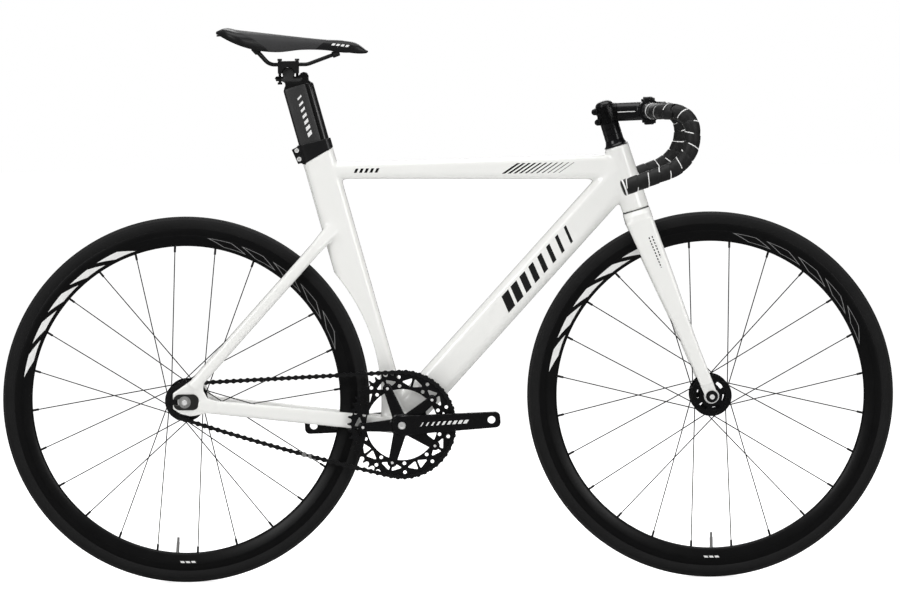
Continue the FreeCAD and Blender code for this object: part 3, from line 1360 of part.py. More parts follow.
def build_seat_clamp():
    flush = mm.clamp_flush
    top = clamp_rear_top + mm.cut_overrun
    low = seat_rear_height - mm.cut_overrun
    corner = mm.seat_tube_corner
    collar = loft([seat_section(low, -flush, corner), seat_section(top, -flush, corner)])
    collar = collar.common(seat_profile(mm.seat_tube_front_height, clamp_front_top,
                                        seat_rear_height, clamp_rear_top))
    rear = mm.seat_tube_lead - mm.seat_tube_depth
    block_points = [
        seat_point(clamp_block_low, rear + mm.clamp_block_back / 2),
        seat_point(clamp_rear_top, rear + mm.clamp_block_back / 2),
        seat_point(clamp_rear_top - mm.clamp_block_back / 3, rear - mm.clamp_block_back),
        seat_point(clamp_block_low, rear - mm.clamp_block_back * 2 / 3),
    ]
    block = flat_prism(block_points, -mm.clamp_block_width / 2, mm.clamp_block_width / 2)
    bore = loft([post_section(low, -mm.post_gap), post_section(top, -mm.post_gap)])
    bolts = []
    block_mid = (clamp_block_low + clamp_rear_top) / 2
    quarter = (clamp_rear_top - clamp_block_low) / 4
    for sign in (-1, 1):
        at = seat_point(block_mid + sign * quarter, rear - mm.clamp_block_back / 3)
        start = at - across * mm.clamp_block_width / 2
        end = at + across * mm.clamp_block_width / 2
        head = rod(start, start - across * mm.clamp_bolt_head_length, mm.clamp_bolt_head_radius)
        bolts.append(rod(start, end, mm.clamp_bolt_radius).fuse(head).removeSplitter())
    clamp = collar.fuse(block).cut(bore).cut(seat_envelope()).cut(bolts)
    shape_node("seat_clamp", largest(clamp.removeSplitter()))
    shape_node("seat_clamp_bolts", Part.makeCompound(bolts))


def build_post():
    outer = loft([post_section(post_low), post_section(post_top)])
    bore = loft([post_section(post_low, mm.post_wall), post_section(post_top - mm.post_wall, mm.post_wall)])
    tube = outer.cut(bore)
    neck_at = head_at - upright * mm.head_pivot_radius / 2
    depth = mm.seat_tube_depth - 2 * (mm.tube_wall_thickness + mm.post_gap)
    width = mm.seat_tube_width - 2 * (mm.tube_wall_thickness + mm.post_gap)
    neck = loft([
        (seat_point(post_top, seat_middle), seat_front, depth, width, mm.post_corner),
        (neck_at, ahead, mm.post_neck_depth, mm.post_neck_width, mm.post_neck_depth / 3),
    ])
    half = mm.head_pivot_width / 2
    pivot = rod(head_at - across * half, head_at + across * half, mm.head_pivot_radius)
    ear_low = head_at - upright * (mm.head_ear_drop + mm.head_ear_thickness)
    ears = Part.makeBox(2 * mm.head_ear_half, mm.head_pivot_width, mm.head_ear_thickness,
                        ear_low - ahead * mm.head_ear_half - across * half)
    holes = []
    for sign in (-1, 1):
        at = head_at + ahead * (sign * mm.head_bolt_half)
        seat = at - upright * (mm.head_ear_drop + mm.head_ear_thickness)
        holes.append(rod(seat, at, mm.clamp_bolt_radius + mm.head_bolt_clearance))
        floor = seat - upright * (mm.seat_nut_gap + mm.clamp_bolt_head_length + 2 * mm.head_nut_clearance)
        holes.append(rod(floor, seat, mm.clamp_bolt_head_radius + mm.head_nut_clearance))
    post = tube.fuse([neck, pivot, ears]).cut(holes)
    shape_node("seatpost", largest(post.removeSplitter()))


saddle_names = ("tail", "rear", "mid", "waist", "nose", "tip")
saddle_place_shares = (0, 0.11, 0.42, 0.60, 0.86, 1)
side_low_share = 0.86
side_high_share = 0.9
shoulder_share = 0.62


def saddle_stations():
    # Place along the bike, half width, underside and depth of the saddle from tail to nose.
    stations = []
    length = mm.saddle_tail_reach + mm.saddle_nose_reach
    for name, share in zip(saddle_names, saddle_place_shares):
        along = head_at.x - mm.saddle_tail_reach + length * share
        half = getattr(mm, "saddle_{}_half".format(name))
        low = rail_height + getattr(mm, "saddle_{}_rise".format(name))
        stations.append((along, half, low, getattr(mm, "saddle_{}_depth".format(name))))
    return stations


def saddle_underside(along):
    stations = saddle_stations()
    for before, after in zip(stations, stations[1:]):
        if before[0] <= along <= after[0]:
            return before[2] + (after[2] - before[2]) * (along - before[0]) / (after[0] - before[0])
    raise ValueError("the rail ends outside the saddle")


def rail_points(side):
    rear = head_at.x - mm.rail_straight_half - mm.rail_rear_reach
    nose = head_at.x + mm.rail_straight_half + mm.rail_nose_reach
    places = [
        (rear, mm.rail_rear_half, saddle_underside(rear) - mm.rail_rear_tuck),
        (head_at.x - mm.rail_straight_half, mm.rail_half_gap, rail_height),
        (head_at.x + mm.rail_straight_half, mm.rail_half_gap, rail_height),
        (nose, mm.rail_nose_half, saddle_underside(nose) - mm.rail_nose_tuck),
    ]
    return [Vector(along, side * half, height) for along, half, height in places]


def build_rails():
    rails = [swept(rounded_path(rail_points(side), [mm.rail_bend, mm.rail_bend]), mm.rail_radius)
             for side in sides.values()]
    shape_node("saddle_rails", Part.makeCompound(rails))
    return rails


def build_saddle_clamp(rails):
    middle = Vector(head_at.x, 0, rail_height)
    half_length = mm.plate_length / 2
    split = mm.plate_split / 2
    cradle_gap = mm.body_gap + mm.head_pivot_radius
    corner = middle - ahead * half_length - across * mm.plate_width / 2
    lower = Part.makeBox(mm.plate_length, mm.plate_width, rail_height - split - head_at.z,
                         Vector(corner.x, corner.y, head_at.z))
    upper = Part.makeBox(mm.plate_length, mm.plate_width, mm.plate_thickness, corner + upright * split)
    groove = rod(head_at - across * mm.plate_width, head_at + across * mm.plate_width, cradle_gap)
    bolts = []
    nut_low = head_at.z - mm.head_ear_drop - mm.head_ear_thickness - mm.seat_nut_gap
    top = rail_height + split + mm.plate_thickness
    for sign in (-1, 1):
        at = Vector(head_at.x + sign * mm.head_bolt_half, 0, 0)
        shank = rod(at + upright * nut_low, at + upright * top, mm.clamp_bolt_radius)
        head = rod(at + upright * top, at + upright * (top + mm.clamp_bolt_head_length),
                   mm.clamp_bolt_head_radius)
        nut = rod(at + upright * nut_low, at + upright * (nut_low - mm.clamp_bolt_head_length),
                  mm.clamp_bolt_head_radius)
        bolts.append(shank.fuse([head, nut]).removeSplitter())
    room = rails + bolts
    shape_node("saddle_clamp", Part.makeCompound([lower.cut([groove] + room), upper.cut(room)]))
    shape_node("saddle_clamp_bolts", Part.makeCompound(bolts))


def saddle_sections(lift):
    # Crowned sections from tail to nose: flat underside, drawn-in sides, arched top.
    wires = []
    for along, half, underside, depth in saddle_stations():
        low = underside + lift
        top = underside + depth
        shoulder = low + (top - low) * shoulder_share
        waist = low + (shoulder - low) / 2
        foot = half * side_low_share
        edge = half * side_high_share
        corners = [Vector(along, -foot, low), Vector(along, foot, low), Vector(along, edge, shoulder),
                   Vector(along, -edge, shoulder)]
        wires.append(Part.Wire([
            Part.makeLine(corners[0], corners[1]),
            Part.Arc(corners[1], Vector(along, half, waist), corners[2]).toShape(),
            Part.Arc(corners[2], Vector(along, 0, top), corners[3]).toShape(),
            Part.Arc(corners[3], Vector(along, -half, waist), corners[0]).toShape(),
        ]))
    return wires


def build_saddle(rails):
    base = mm.shell_thickness + mm.pad_gap
    pad = Part.makeLoft(saddle_sections(base), True, False)
    shape_node("saddle_pad", pad)
    wires = []
    for along, half, low, _ in saddle_stations():
        foot = half * side_low_share
        high = low + mm.shell_thickness
        corners = [Vector(along, -foot, low), Vector(along, foot, low), Vector(along, foot, high),
                   Vector(along, -foot, high)]
        wires.append(Part.makePolygon(corners + corners[:1]))
    shell = Part.makeLoft(wires, True, False)
    sockets = []
    for side in sides.values():
        points = rail_points(side)
        for end, before in ((points[0], points[1]), (points[-1], points[-2])):
            way = (end - before).normalize()
            socket = rod(end - way * mm.rail_socket, end, mm.rail_radius + mm.rail_socket_wall)
            sockets.append(socket.cut(pad))
    shape_node("saddle_shell", shell.fuse(sockets).cut(rails).removeSplitter())


build_seat_clamp()
build_post()
saddle_rails = build_rails()
build_saddle_clamp(saddle_rails)
build_saddle(saddle_rails)

# Checks, then one file for each node

doc.recompute()
for thing in doc.Objects:
    if "Invalid" in thing.State or "Error" in thing.State:
        raise RuntimeError("{} failed: {}".format(thing.Label, thing.State))
for piece in nodes:
    if piece.Shape.isNull() or not piece.Shape.isValid():
        raise RuntimeError("{} has no valid shape".format(piece.Label))
    if not piece.Shape.Solids:
        raise RuntimeError("{} has no solid".format(piece.Label))

os.makedirs("parts", exist_ok=True)
for piece in nodes:
    piece.Shape.exportStep(os.path.join("parts", piece.Label + ".step"))
print("{} nodes, {} solids".format(len(nodes), sum(len(piece.Shape.Solids) for piece in nodes)))
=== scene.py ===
import bpy
import math
import numpy as np
from mathutils import Matrix, Vector


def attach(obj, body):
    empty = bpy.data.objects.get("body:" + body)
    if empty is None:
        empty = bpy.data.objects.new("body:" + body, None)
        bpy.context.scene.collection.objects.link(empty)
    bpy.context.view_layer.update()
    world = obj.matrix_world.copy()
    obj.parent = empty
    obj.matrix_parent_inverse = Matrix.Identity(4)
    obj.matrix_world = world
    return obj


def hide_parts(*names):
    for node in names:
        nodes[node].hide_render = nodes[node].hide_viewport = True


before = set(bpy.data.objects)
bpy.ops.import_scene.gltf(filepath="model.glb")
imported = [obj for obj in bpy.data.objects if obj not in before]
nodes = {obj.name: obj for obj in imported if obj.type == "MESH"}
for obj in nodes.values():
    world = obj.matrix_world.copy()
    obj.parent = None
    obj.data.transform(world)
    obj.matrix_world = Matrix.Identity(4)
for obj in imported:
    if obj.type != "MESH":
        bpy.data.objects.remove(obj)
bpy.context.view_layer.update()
print("frame loaded:", len(nodes), "nodes")

# Shared places, in metres: +X forwards, drive side at -Y

layout = {
    "rearAxle": (-0.4847, 0, 0.339), "frontAxle": (0.4847, 0, 0.339), "bracket": (-0.086363, 0, 0.292),
    "headAngle": 73.5, "seatAngle": 74.7, "crown": (0.349415, 0, 0.683045),
}
rearAxle = Vector(layout["rearAxle"])
frontAxle = Vector(layout["frontAxle"])
bracket = Vector(layout["bracket"])
crown = Vector(layout["crown"])
headLean = math.radians(layout["headAngle"])
seatLean = math.radians(layout["seatAngle"])
steerUp = Vector((-math.cos(headLean), 0, math.sin(headLean)))
steerFront = Vector((math.sin(headLean), 0, math.cos(headLean)))
seatUp = Vector((-math.cos(seatLean), 0, math.sin(seatLean)))
seatFront = Vector((math.sin(seatLean), 0, math.cos(seatLean)))
across = Vector((0, 1, 0))
ahead = Vector((1, 0, 0))
upright = Vector((0, 0, 1))
fullTurn = 2 * math.pi


def steerPoint(height, forward=0, aside=0):
    return crown + steerUp * height + steerFront * forward + across * aside


def seatPoint(height, forward=0, aside=0):
    return bracket + seatUp * height + seatFront * forward + across * aside


def sideWay(angle):
    return Vector((math.cos(angle), 0, math.sin(angle)))


def squareTo(way):
    # the side-view direction a quarter turn on
    return Vector((-way.z, 0, way.x))


# Working tools

tooling = {
    "merge": 0.00001, "loftMerge": 0.0000001, "latheMerge": 0.000002, "cornerSteps": 6, "rodSides": 48,
    "capsuleSteps": 14, "relaxGains": (0.5, -0.53), "fillGain": 0.5, "normalsEvery": 5, "zoneFade": 1.6,
}


def deselectAll():
    if bpy.context.object and bpy.context.object.mode != "OBJECT":
        bpy.ops.object.mode_set(mode="OBJECT")
    bpy.ops.object.select_all(action="DESELECT")


def pick(*things):
    deselectAll()
    for thing in things:
        thing.select_set(True)
    bpy.context.view_layer.objects.active = things[0]


def editAll(thing):
    pick(thing)
    bpy.ops.object.mode_set(mode="EDIT")
    bpy.ops.mesh.select_all(action="SELECT")


def backToObject():
    bpy.ops.object.mode_set(mode="OBJECT")


def joined(name, pieces):
    pick(*pieces)
    bpy.ops.object.join()
    thing = bpy.context.object
    thing.name = name
    thing.data.name = name
    return thing


def modified(thing, kind, **settings):
    pick(thing)
    step = thing.modifiers.new(kind.lower(), kind)
    for key, value in settings.items():
        setattr(step, key, value)
    bpy.ops.object.modifier_apply(modifier=step.name)


def evenNormals(thing, merge=tooling["merge"]):
    editAll(thing)
    bpy.ops.mesh.remove_doubles(threshold=merge)
    bpy.ops.mesh.normals_make_consistent(inside=False)
    backToObject()
    return thing


def solidCopy(name, nodeName):
    # a copy of a node's solid, free to be reshaped
    copy = nodes[nodeName].copy()
    copy.data = nodes[nodeName].data.copy()
    for key in list(copy.keys()):
        del copy[key]
    copy.parent = None
    bpy.context.scene.collection.objects.link(copy)
    thing = joined(name, [copy])
    thing.data.materials.clear()
    thing.hide_render = False
    if thing.data.has_custom_normals:
        bpy.ops.mesh.customdata_custom_splitnormals_clear()
    return evenNormals(thing)


def roundedLoop(at, depthWay, depth, width, corner):
    # points of a rounded rectangle: depth along depthWay, width across the bike
    steps = tooling["cornerSteps"]
    points = []
    for index, (signDepth, signWidth) in enumerate(((1, 1), (-1, 1), (-1, -1), (1, -1))):
        centreDepth = signDepth * (depth / 2 - corner)
        centreWidth = signWidth * (width / 2 - corner)
        for step in range(steps + 1):
            angle = (index + step / steps) * math.pi / 2
            along = centreDepth + corner * math.cos(angle)
            aside = centreWidth + corner * math.sin(angle)
            points.append(at + depthWay * along + across * aside)
    return points


def loftLoops(name, loops):
    # a filled loop, extruded from loop to loop
    count = len(loops[0])
    deselectAll()
    bpy.ops.mesh.primitive_circle_add(vertices=count, radius=1, fill_type="NGON")
    thing = bpy.context.object
    thing.name = name
    for vertex, point in zip(thing.data.vertices, loops[0]):
        vertex.co = point
    for loop in loops[1:]:
        bpy.ops.object.mode_set(mode="EDIT")
        bpy.ops.mesh.extrude_region_move()
        backToObject()
        fresh = thing.data.vertices[len(thing.data.vertices) - count:]
        for vertex, point in zip(fresh, loop):
            vertex.co = point
    return evenNormals(thing, tooling["loftMerge"])


def loftTube(name, sections):
    return loftLoops(name, [roundedLoop(*section) for section in sections])


def rodBetween(name, start, end, radius, endRadius=None, sides=tooling["rodSides"]):
    span = end - start
    deselectAll()
    bpy.ops.mesh.primitive_cone_add(vertices=sides, radius1=radius,
                                    radius2=radius if endRadius is None else endRadius, depth=span.length)
    thing = bpy.context.object
    thing.name = name
    turn = span.to_track_quat("Z", "Y").to_matrix().to_4x4()
    thing.data.transform(Matrix.Translation((start + end) / 2) @ turn)
    return thing


def crossRod(name, at, half, radius, sides=tooling["rodSides"]):
    return rodBetween(name, at - across * half, at + across * half, radius, sides=sides)


def sidePlate(name, points, low, high):
    # a side-view outline, extruded across the bike
    loops = [[Vector((point[0], place, point[-1])) for point in points] for place in (low, high)]
    return loftLoops(name, loops)


def meshArrays(thing):
    mesh = thing.data
    places = np.empty(len(mesh.vertices) * 3, np.float64)
    mesh.vertices.foreach_get("co", places)
    edges = np.empty(len(mesh.edges) * 2, np.int64)
    mesh.edges.foreach_get("vertices", edges)
    return places.reshape(-1, 3), edges.reshape(-1, 2)


def storePlaces(thing, places):
    thing.data.vertices.foreach_set("co", places.astype(np.float32).ravel())
    thing.data.update()


def leanings(places, edges):
    # from each point to the middle of its neighbours
    count = len(places)
    degree = np.bincount(edges.ravel(), minlength=count).astype(float)
    total = np.empty_like(places)
    for axis in range(3):
        total[:, axis] = np.bincount(edges[:, 0], places[edges[:, 1], axis], count)
        total[:, axis] += np.bincount(edges[:, 1], places[edges[:, 0], axis], count)
    return total / np.maximum(degree, 1)[:, None] - places


def relaxMesh(thing, rounds):
    # evens out steps without shrinking
    places, edges = meshArrays(thing)
    for _ in range(rounds):
        for gain in tooling["relaxGains"]:
            places += leanings(places, edges) * gain
    storePlaces(thing, places)


def nearness(thing, zones):
    # 1 inside the listed balls, fading to 0 at their rims; 1 everywhere without a list
    places, _ = meshArrays(thing)
    if zones is None:
        return np.ones(len(places))
    weight = np.zeros(len(places))
    for at, reach in zones:
        away = np.linalg.norm(places - np.array(at), axis=1)
        weight = np.maximum(weight, np.clip(tooling["zoneFade"] * (1 - away / reach), 0, 1))
    return weight


def fillCreases(thing, rounds, threshold, zones=None):
    # lets hollow corners grow into soft weld fillets
    share = nearness(thing, zones)
    places, edges = meshArrays(thing)
    normals = np.empty(len(places) * 3, np.float64)
    for index in range(rounds):
        if index % tooling["normalsEvery"] == 0:
            storePlaces(thing, places)
            thing.data.vertices.foreach_get("normal", normals)
            facing = normals.reshape(-1, 3)
        rise = (leanings(places, edges) * facing).sum(axis=1)
        rise[rise < threshold] = 0
        places += facing * (rise * tooling["fillGain"] * share)[:, None]
    storePlaces(thing, places)


def melted(thing, voxel, relaxing, fills=()):
    # one skin round overlapping solids, evened out before and after its corners are filled
    modified(thing, "REMESH", mode="VOXEL", voxel_size=voxel)
    relaxMesh(thing, relaxing[0])
    for fill in fills:
        fillCreases(thing, *fill)
    relaxMesh(thing, relaxing[1])
    return thing


def carve(thing, cutters):
    for cutter in cutters:
        modified(thing, "BOOLEAN", object=cutter, operation="DIFFERENCE", solver="EXACT")
        bpy.data.objects.remove(cutter)


def flowing(knots, values, places):
    # smooth curve through the given values
    knots = np.asarray(knots, float)
    values = np.asarray(values, float)
    steps = np.diff(knots)
    rises = np.diff(values) / steps
    inner = (rises[:-1] * steps[1:] + rises[1:] * steps[:-1]) / (steps[:-1] + steps[1:])
    slopes = np.concatenate(([rises[0]], inner, [rises[-1]]))
    index = np.clip(np.searchsorted(knots, places, "right") - 1, 0, len(steps) - 1)
    span = steps[index]
    share = (places - knots[index]) / span
    ease = share * share * (3 - 2 * share)
    start = values[index] * (1 - ease) + values[index + 1] * ease
    leave = slopes[index] * span * share * (1 - share) ** 2
    arrive = slopes[index + 1] * span * share ** 2 * (share - 1)
    return start + leave + arrive


def gridPiece(name, places):
    # a sheet of rows and columns, laid on the given places
    rows, columns = places.shape[:2]
    deselectAll()
    bpy.ops.mesh.primitive_grid_add(x_subdivisions=columns - 1, y_subdivisions=rows - 1)
    thing = bpy.context.object
    thing.name = name
    storePlaces(thing, places.reshape(-1, 3))
    return thing


def lathe(name, profile, at, axis, segments):
    # a profile of reach and height, turned about an axis
    axis = Vector(axis).normalized()
    first = axis.orthogonal().normalized()
    second = axis.cross(first)
    turns = np.linspace(0, fullTurn, segments + 1)
    ring = np.outer(np.cos(turns), np.array(first)) + np.outer(np.sin(turns), np.array(second))
    reach = np.array([point[0] for point in profile])[:, None, None]
    height = np.array([point[1] for point in profile])[:, None, None]
    places = np.array(at) + reach * ring[None] + height * np.array(axis)
    return evenNormals(gridPiece(name, places), tooling["latheMerge"])


def capsuleOutline(start, startRadius, end, endRadius):
    # side-view outline round two discs
    way = Vector((end.x - start.x, 0, end.z - start.z))
    heading = math.atan2(way.z, way.x)
    lean = math.acos((startRadius - endRadius) / way.length)
    points = []
    discs = ((end, endRadius, -lean, lean), (start, startRadius, lean, fullTurn - lean))
    for centre, radius, low, high in discs:
        for turn in np.linspace(low, high, tooling["capsuleSteps"]):
            points.append(centre + sideWay(heading + turn) * radius)
    return points


def triangleCount(thing):
    thing.data.calc_loop_triangles()
    return len(thing.data.loop_triangles)


def repaint(thing, material):
    thing.data.materials.clear()
    thing.data.materials.append(material)


def finishPiece(thing, degrees, body, material, slotName, *replaced):
    # edges sharper than the given angle stay crisp
    pick(thing)
    bpy.ops.object.shade_smooth_by_angle(angle=math.radians(degrees))
    repaint(thing, material)
    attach(thing, body)
    if replaced:
        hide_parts(*replaced)


# Shared shader groups


def newGroup(name, inputs, outputs):
    group = bpy.data.node_groups.new(name, "ShaderNodeTree")
    for label, kind, value in inputs:
        socket = group.interface.new_socket(name=label, in_out="INPUT", socket_type="NodeSocket" + kind)
        if value is not None:
            socket.default_value = value
    for label, kind in outputs:
        group.interface.new_socket(name=label, in_out="OUTPUT", socket_type="NodeSocket" + kind)
    return group, group.nodes.new("NodeGroupInput").outputs, group.nodes.new("NodeGroupOutput").inputs


def wireUp(tree, made, links):
    for key, value in links.items():
        if isinstance(value, bpy.types.NodeSocket):
            tree.links.new(value, made.inputs[key])
        else:
            made.inputs[key].default_value = value
    return made


def addNode(tree, kind, links=None, **settings):
    made = tree.nodes.new("ShaderNode" + kind)
    for key, value in settings.items():
        setattr(made, key, value)
    return wireUp(tree, made, links or {})


def placeGroup(tree, group, links):
    return wireUp(tree, addNode(tree, "Group", node_tree=group), links)


def mathNode(tree, operation, first, second=0.0, third=0.0):
    return addNode(tree, "Math", {0: first, 1: second, 2: third}, operation=operation).outputs[0]


def allOf(tree, *masks):
    shared = masks[0]
    for mask in masks[1:]:
        shared = mathNode(tree, "MULTIPLY", shared, mask)
    return shared


def between(tree, value, low, high):
    return allOf(tree, mathNode(tree, "GREATER_THAN", value, low), mathNode(tree, "LESS_THAN", value, high))


def blendColour(tree, share, first, second):
    return addNode(tree, "Mix", {0: share, 6: first, 7: second}, data_type="RGBA").outputs[2]


def buildFinishGroup():
    # slow shade changes, fine grain and roughness drift of a coated surface
    group, entry, leave = newGroup(
        "coatedFinish",
        [("Place", "Vector", None), ("Colour", "Color", (0.5, 0.5, 0.5, 1)), ("Shade", "Float", 0.06),
         ("Scale", "Float", 14.0), ("Grain", "Float", 900.0), ("Roughness", "Float", 0.4),
         ("Drift", "Float", 0.08)],
        [("Colour", "Color"), ("Roughness", "Float"), ("Height", "Float")])
    slow = addNode(group, "TexNoise", {"Vector": entry["Place"], "Scale": entry["Scale"], "Detail": 4.0,
                                       "Roughness": 0.55})
    grain = addNode(group, "TexNoise", {"Vector": entry["Place"], "Scale": entry["Grain"], "Detail": 2.0})
    centred = mathNode(group, "SUBTRACT", slow.outputs[0], 0.5)
    lift = mathNode(group, "MULTIPLY_ADD", centred, entry["Shade"], 1.0)
    tint = addNode(group, "VectorMath", {0: entry["Colour"], "Scale": lift}, operation="SCALE")
    rough = mathNode(group, "MULTIPLY_ADD", centred, entry["Drift"], entry["Roughness"])
    group.links.new(tint.outputs[0], leave["Colour"])
    group.links.new(rough, leave["Roughness"])
    group.links.new(grain.outputs[0], leave["Height"])
    return group


def buildWheelGroup():
    # turns about an axle: share of a turn from +X, distance from the axle and place across
    group, entry, leave = newGroup(
        "wheelPlace", [("Place", "Vector", None), ("Axle X", "Float", 0.0), ("Axle Z", "Float", 0.0)],
        [("Turn", "Float"), ("Reach", "Float"), ("Across", "Float")])
    parts = addNode(group, "SeparateXYZ", {0: entry["Place"]}).outputs
    along = mathNode(group, "SUBTRACT", parts[0], entry["Axle X"])
    rising = mathNode(group, "SUBTRACT", parts[2], entry["Axle Z"])
    turn = mathNode(group, "DIVIDE", mathNode(group, "ARCTAN2", rising, along), fullTurn)
    turn = mathNode(group, "FRACT", mathNode(group, "ADD", turn, 1.0))
    square = mathNode(group, "MULTIPLY_ADD", along, along, mathNode(group, "MULTIPLY", rising, rising))
    group.links.new(turn, leave["Turn"])
    group.links.new(mathNode(group, "SQRT", square), leave["Reach"])
    group.links.new(parts[1], leave["Across"])
    return group


finishGroup = buildFinishGroup()
wheelGroup = buildWheelGroup()


def wheelPlace(tree, place, axle):
    return placeGroup(tree, wheelGroup, {"Place": place, "Axle X": axle.x, "Axle Z": axle.z}).outputs


def newMaterial(name, sockets):
    material = bpy.data.materials.new(name)
    material.use_nodes = True
    tree = material.node_tree
    shader = tree.nodes["Principled BSDF"]
    for label, value in sockets.items():
        shader.inputs[label.replace("_", " ")].default_value = value
    return material, tree, shader


plainLook = dict(shade=0.08, scale=14.0, grain=900.0, drift=0.08, bump=0.1, bumpDepth=0.0002)


def coatedMaterial(name, look, marksFrom=None):
    # the shared finish; marks may take over its colour and roughness, and add a relief to its grain
    look = {**plainLook, **look}
    material, tree, shader = newMaterial(name, {key: look[key] for key in look if key[0].isupper()})
    place = addNode(tree, "TexCoord").outputs["Object"]
    values = {label: look[label.lower()] for label in ("Shade", "Scale", "Grain", "Roughness", "Drift")}
    finish = placeGroup(tree, finishGroup, {"Place": place, "Colour": (*look["colour"], 1), **values}).outputs
    wires = {"Base Color": finish["Colour"], "Roughness": finish["Roughness"]}
    if marksFrom:
        wires.update(marksFrom(tree, place, finish))
    height = finish["Height"]
    if "Relief" in wires:
        height = mathNode(tree, "ADD", wires.pop("Relief"), height)
    bump = addNode(tree, "Bump", {"Height": height, "Strength": look["bump"], "Distance": look["bumpDepth"]})
    wireUp(tree, shader, {**wires, "Normal": bump.outputs[0]})
    return material


def stripMask(tree, place, strip):
    # a row of slanted blocks laid along one direction of the side view
    at, way, over = (Vector(strip[key]) for key in ("at", "way", "over"))
    run, rise = (mathNode(tree, "SUBTRACT", addNode(tree, "VectorMath", {0: place, 1: line},
                                                    operation="DOT_PRODUCT").outputs["Value"], at.dot(line))
                 for line in (way, over))
    slanted = mathNode(tree, "MULTIPLY_ADD", rise, -strip.get("slant", 0.0), run)
    share = mathNode(tree, "DIVIDE", slanted, strip["length"])
    cell = mathNode(tree, "FRACT", mathNode(tree, "MULTIPLY", share, strip["cells"]))
    filled = mathNode(tree, "MULTIPLY_ADD", share, strip.get("taper", 0.0), strip["fill"])
    half = mathNode(tree, "LESS_THAN", mathNode(tree, "ABSOLUTE", rise), strip["height"] / 2)
    aside = mathNode(tree, "ABSOLUTE", addNode(tree, "SeparateXYZ", {0: place}).outputs[1])
    flank = mathNode(tree, "GREATER_THAN", aside, strip["aside"])
    return allOf(tree, mathNode(tree, "LESS_THAN", cell, filled), between(tree, share, 0.0, 1.0), half, flank)


def printed(ink, strips):
    # marks: plain blocks in one ink
    def marks(tree, place, finish):
        mask = 0.0
        for strip in strips:
            mask = mathNode(tree, "MAXIMUM", mask, stripMask(tree, place, strip))
        return {"Base Color": blendColour(tree, mask, finish["Colour"], ink)}
    return marks


def metalWhere(maskFrom, metal):
    # marks: bare metal where the mask is set
    def marks(tree, place, finish):
        mask = maskFrom(tree, place)
        return {"Base Color": blendColour(tree, mask, finish["Colour"], metal), "Metallic": mask}
    return marks


printInk = {"black": (0.008, 0.008, 0.008, 1), "white": (0.78, 0.78, 0.77, 1)}
finishes = {
    "whitePaint": dict(colour=(0.86, 0.86, 0.835), roughness=0.26, shade=0.03, scale=5.0, grain=420.0,
                       drift=0.04, bump=0.03, Coat_Weight=0.7, Coat_Roughness=0.06),
    "blackSatin": dict(colour=(0.007, 0.007, 0.0075), roughness=0.34, shade=0.5, grain=2600.0, bump=0.12,
                       Specular_IOR_Level=0.4),
    "blackGloss": dict(colour=(0.004, 0.004, 0.0045), roughness=0.2, shade=0.4, grain=1500.0, drift=0.1,
                       bump=0.04, Specular_IOR_Level=0.4),
    "blackMatte": dict(colour=(0.012, 0.012, 0.012), roughness=0.6, shade=0.4, grain=2200.0, bump=0.2,
                       Specular_IOR_Level=0.25),
    "blackSteel": dict(colour=(0.006, 0.006, 0.0065), roughness=0.34, shade=0.6, scale=60.0, grain=1800.0,
                       bump=0.1, Specular_IOR_Level=0.4),
    "brightSteel": dict(colour=(0.86, 0.86, 0.85), roughness=0.28, shade=0.25, scale=120.0, grain=2600.0,
                        bump=0.12, Metallic=0.3),
    "plateSteel": dict(colour=(0.12, 0.12, 0.115), roughness=0.34, shade=0.4, scale=90.0, grain=2400.0,
                       bump=0.18, Metallic=1.0),
    "nutSteel": dict(colour=(0.48, 0.48, 0.47), roughness=0.3, shade=0.4, scale=160.0, grain=2600.0,
                     bump=0.15, Metallic=0.55),
    "whitePlastic": dict(colour=(0.80, 0.80, 0.79), roughness=0.4, shade=0.05, bump=0.05),
    "stemBlack": dict(colour=(0.0045, 0.0045, 0.005), roughness=0.26, shade=0.5, grain=1900.0, drift=0.12,
                      bump=0.07, Specular_IOR_Level=0.42),
    "tubeRubber": dict(colour=(0.02, 0.02, 0.02), roughness=0.7, shade=0.3, bump=0.2),
}
coats = {name: coatedMaterial(name, look) for name, look in finishes.items()}

nodeFinish = {
    "whitePaint": ["head_tube", "top_tube", "down_tube", "seat_tube", "bottom_bracket_shell",
                   "chain_stay_right", "chain_stay_left", "seat_stay_right", "seat_stay_left",
                   "dropout_right", "dropout_left", "fork_crown", "fork_blade_right", "fork_blade_left"],
    "plateSteel": ["dropout_inserts"],
    "brightSteel": ["crank_bolts", "headset_bearings", "bottom_bracket_bearings", "rear_axle", "front_axle",
                    "crank_spindle", "rear_hub_bearings", "front_hub_bearings"],
    "nutSteel": ["rear_axle_nuts"],
    "blackSatin": ["seat_clamp", "bottom_bracket_cups", "rear_rim", "front_rim", "cog_lockring",
                   "headset_spacers", "top_cap", "handlebar", "seatpost", "saddle_clamp", "stem",
                   "stem_faceplate"],
    "blackGloss": ["crank_arm_right", "crank_arm_left", "chainring", "rear_hub_shell", "front_hub_shell"],
    "blackSteel": ["seat_clamp_bolts", "chain_inner_links", "chain_outer_links", "front_axle_nuts",
                   "chainring_bolts", "rear_spokes", "front_spokes", "rear_cog", "stem_bolts",
                   "saddle_clamp_bolts", "saddle_rails"],
    "blackMatte": ["rear_tyre", "front_tyre", "bar_tape", "bar_end_plugs", "saddle_shell", "saddle_pad"],
    "tubeRubber": ["rear_inner_tube", "front_inner_tube"],
}
for finishName, nodeNames in nodeFinish.items():
    for nodeName in nodeNames:
        repaint(nodes[nodeName], coats[finishName])
print("finishes set")

# Camera, light and floor

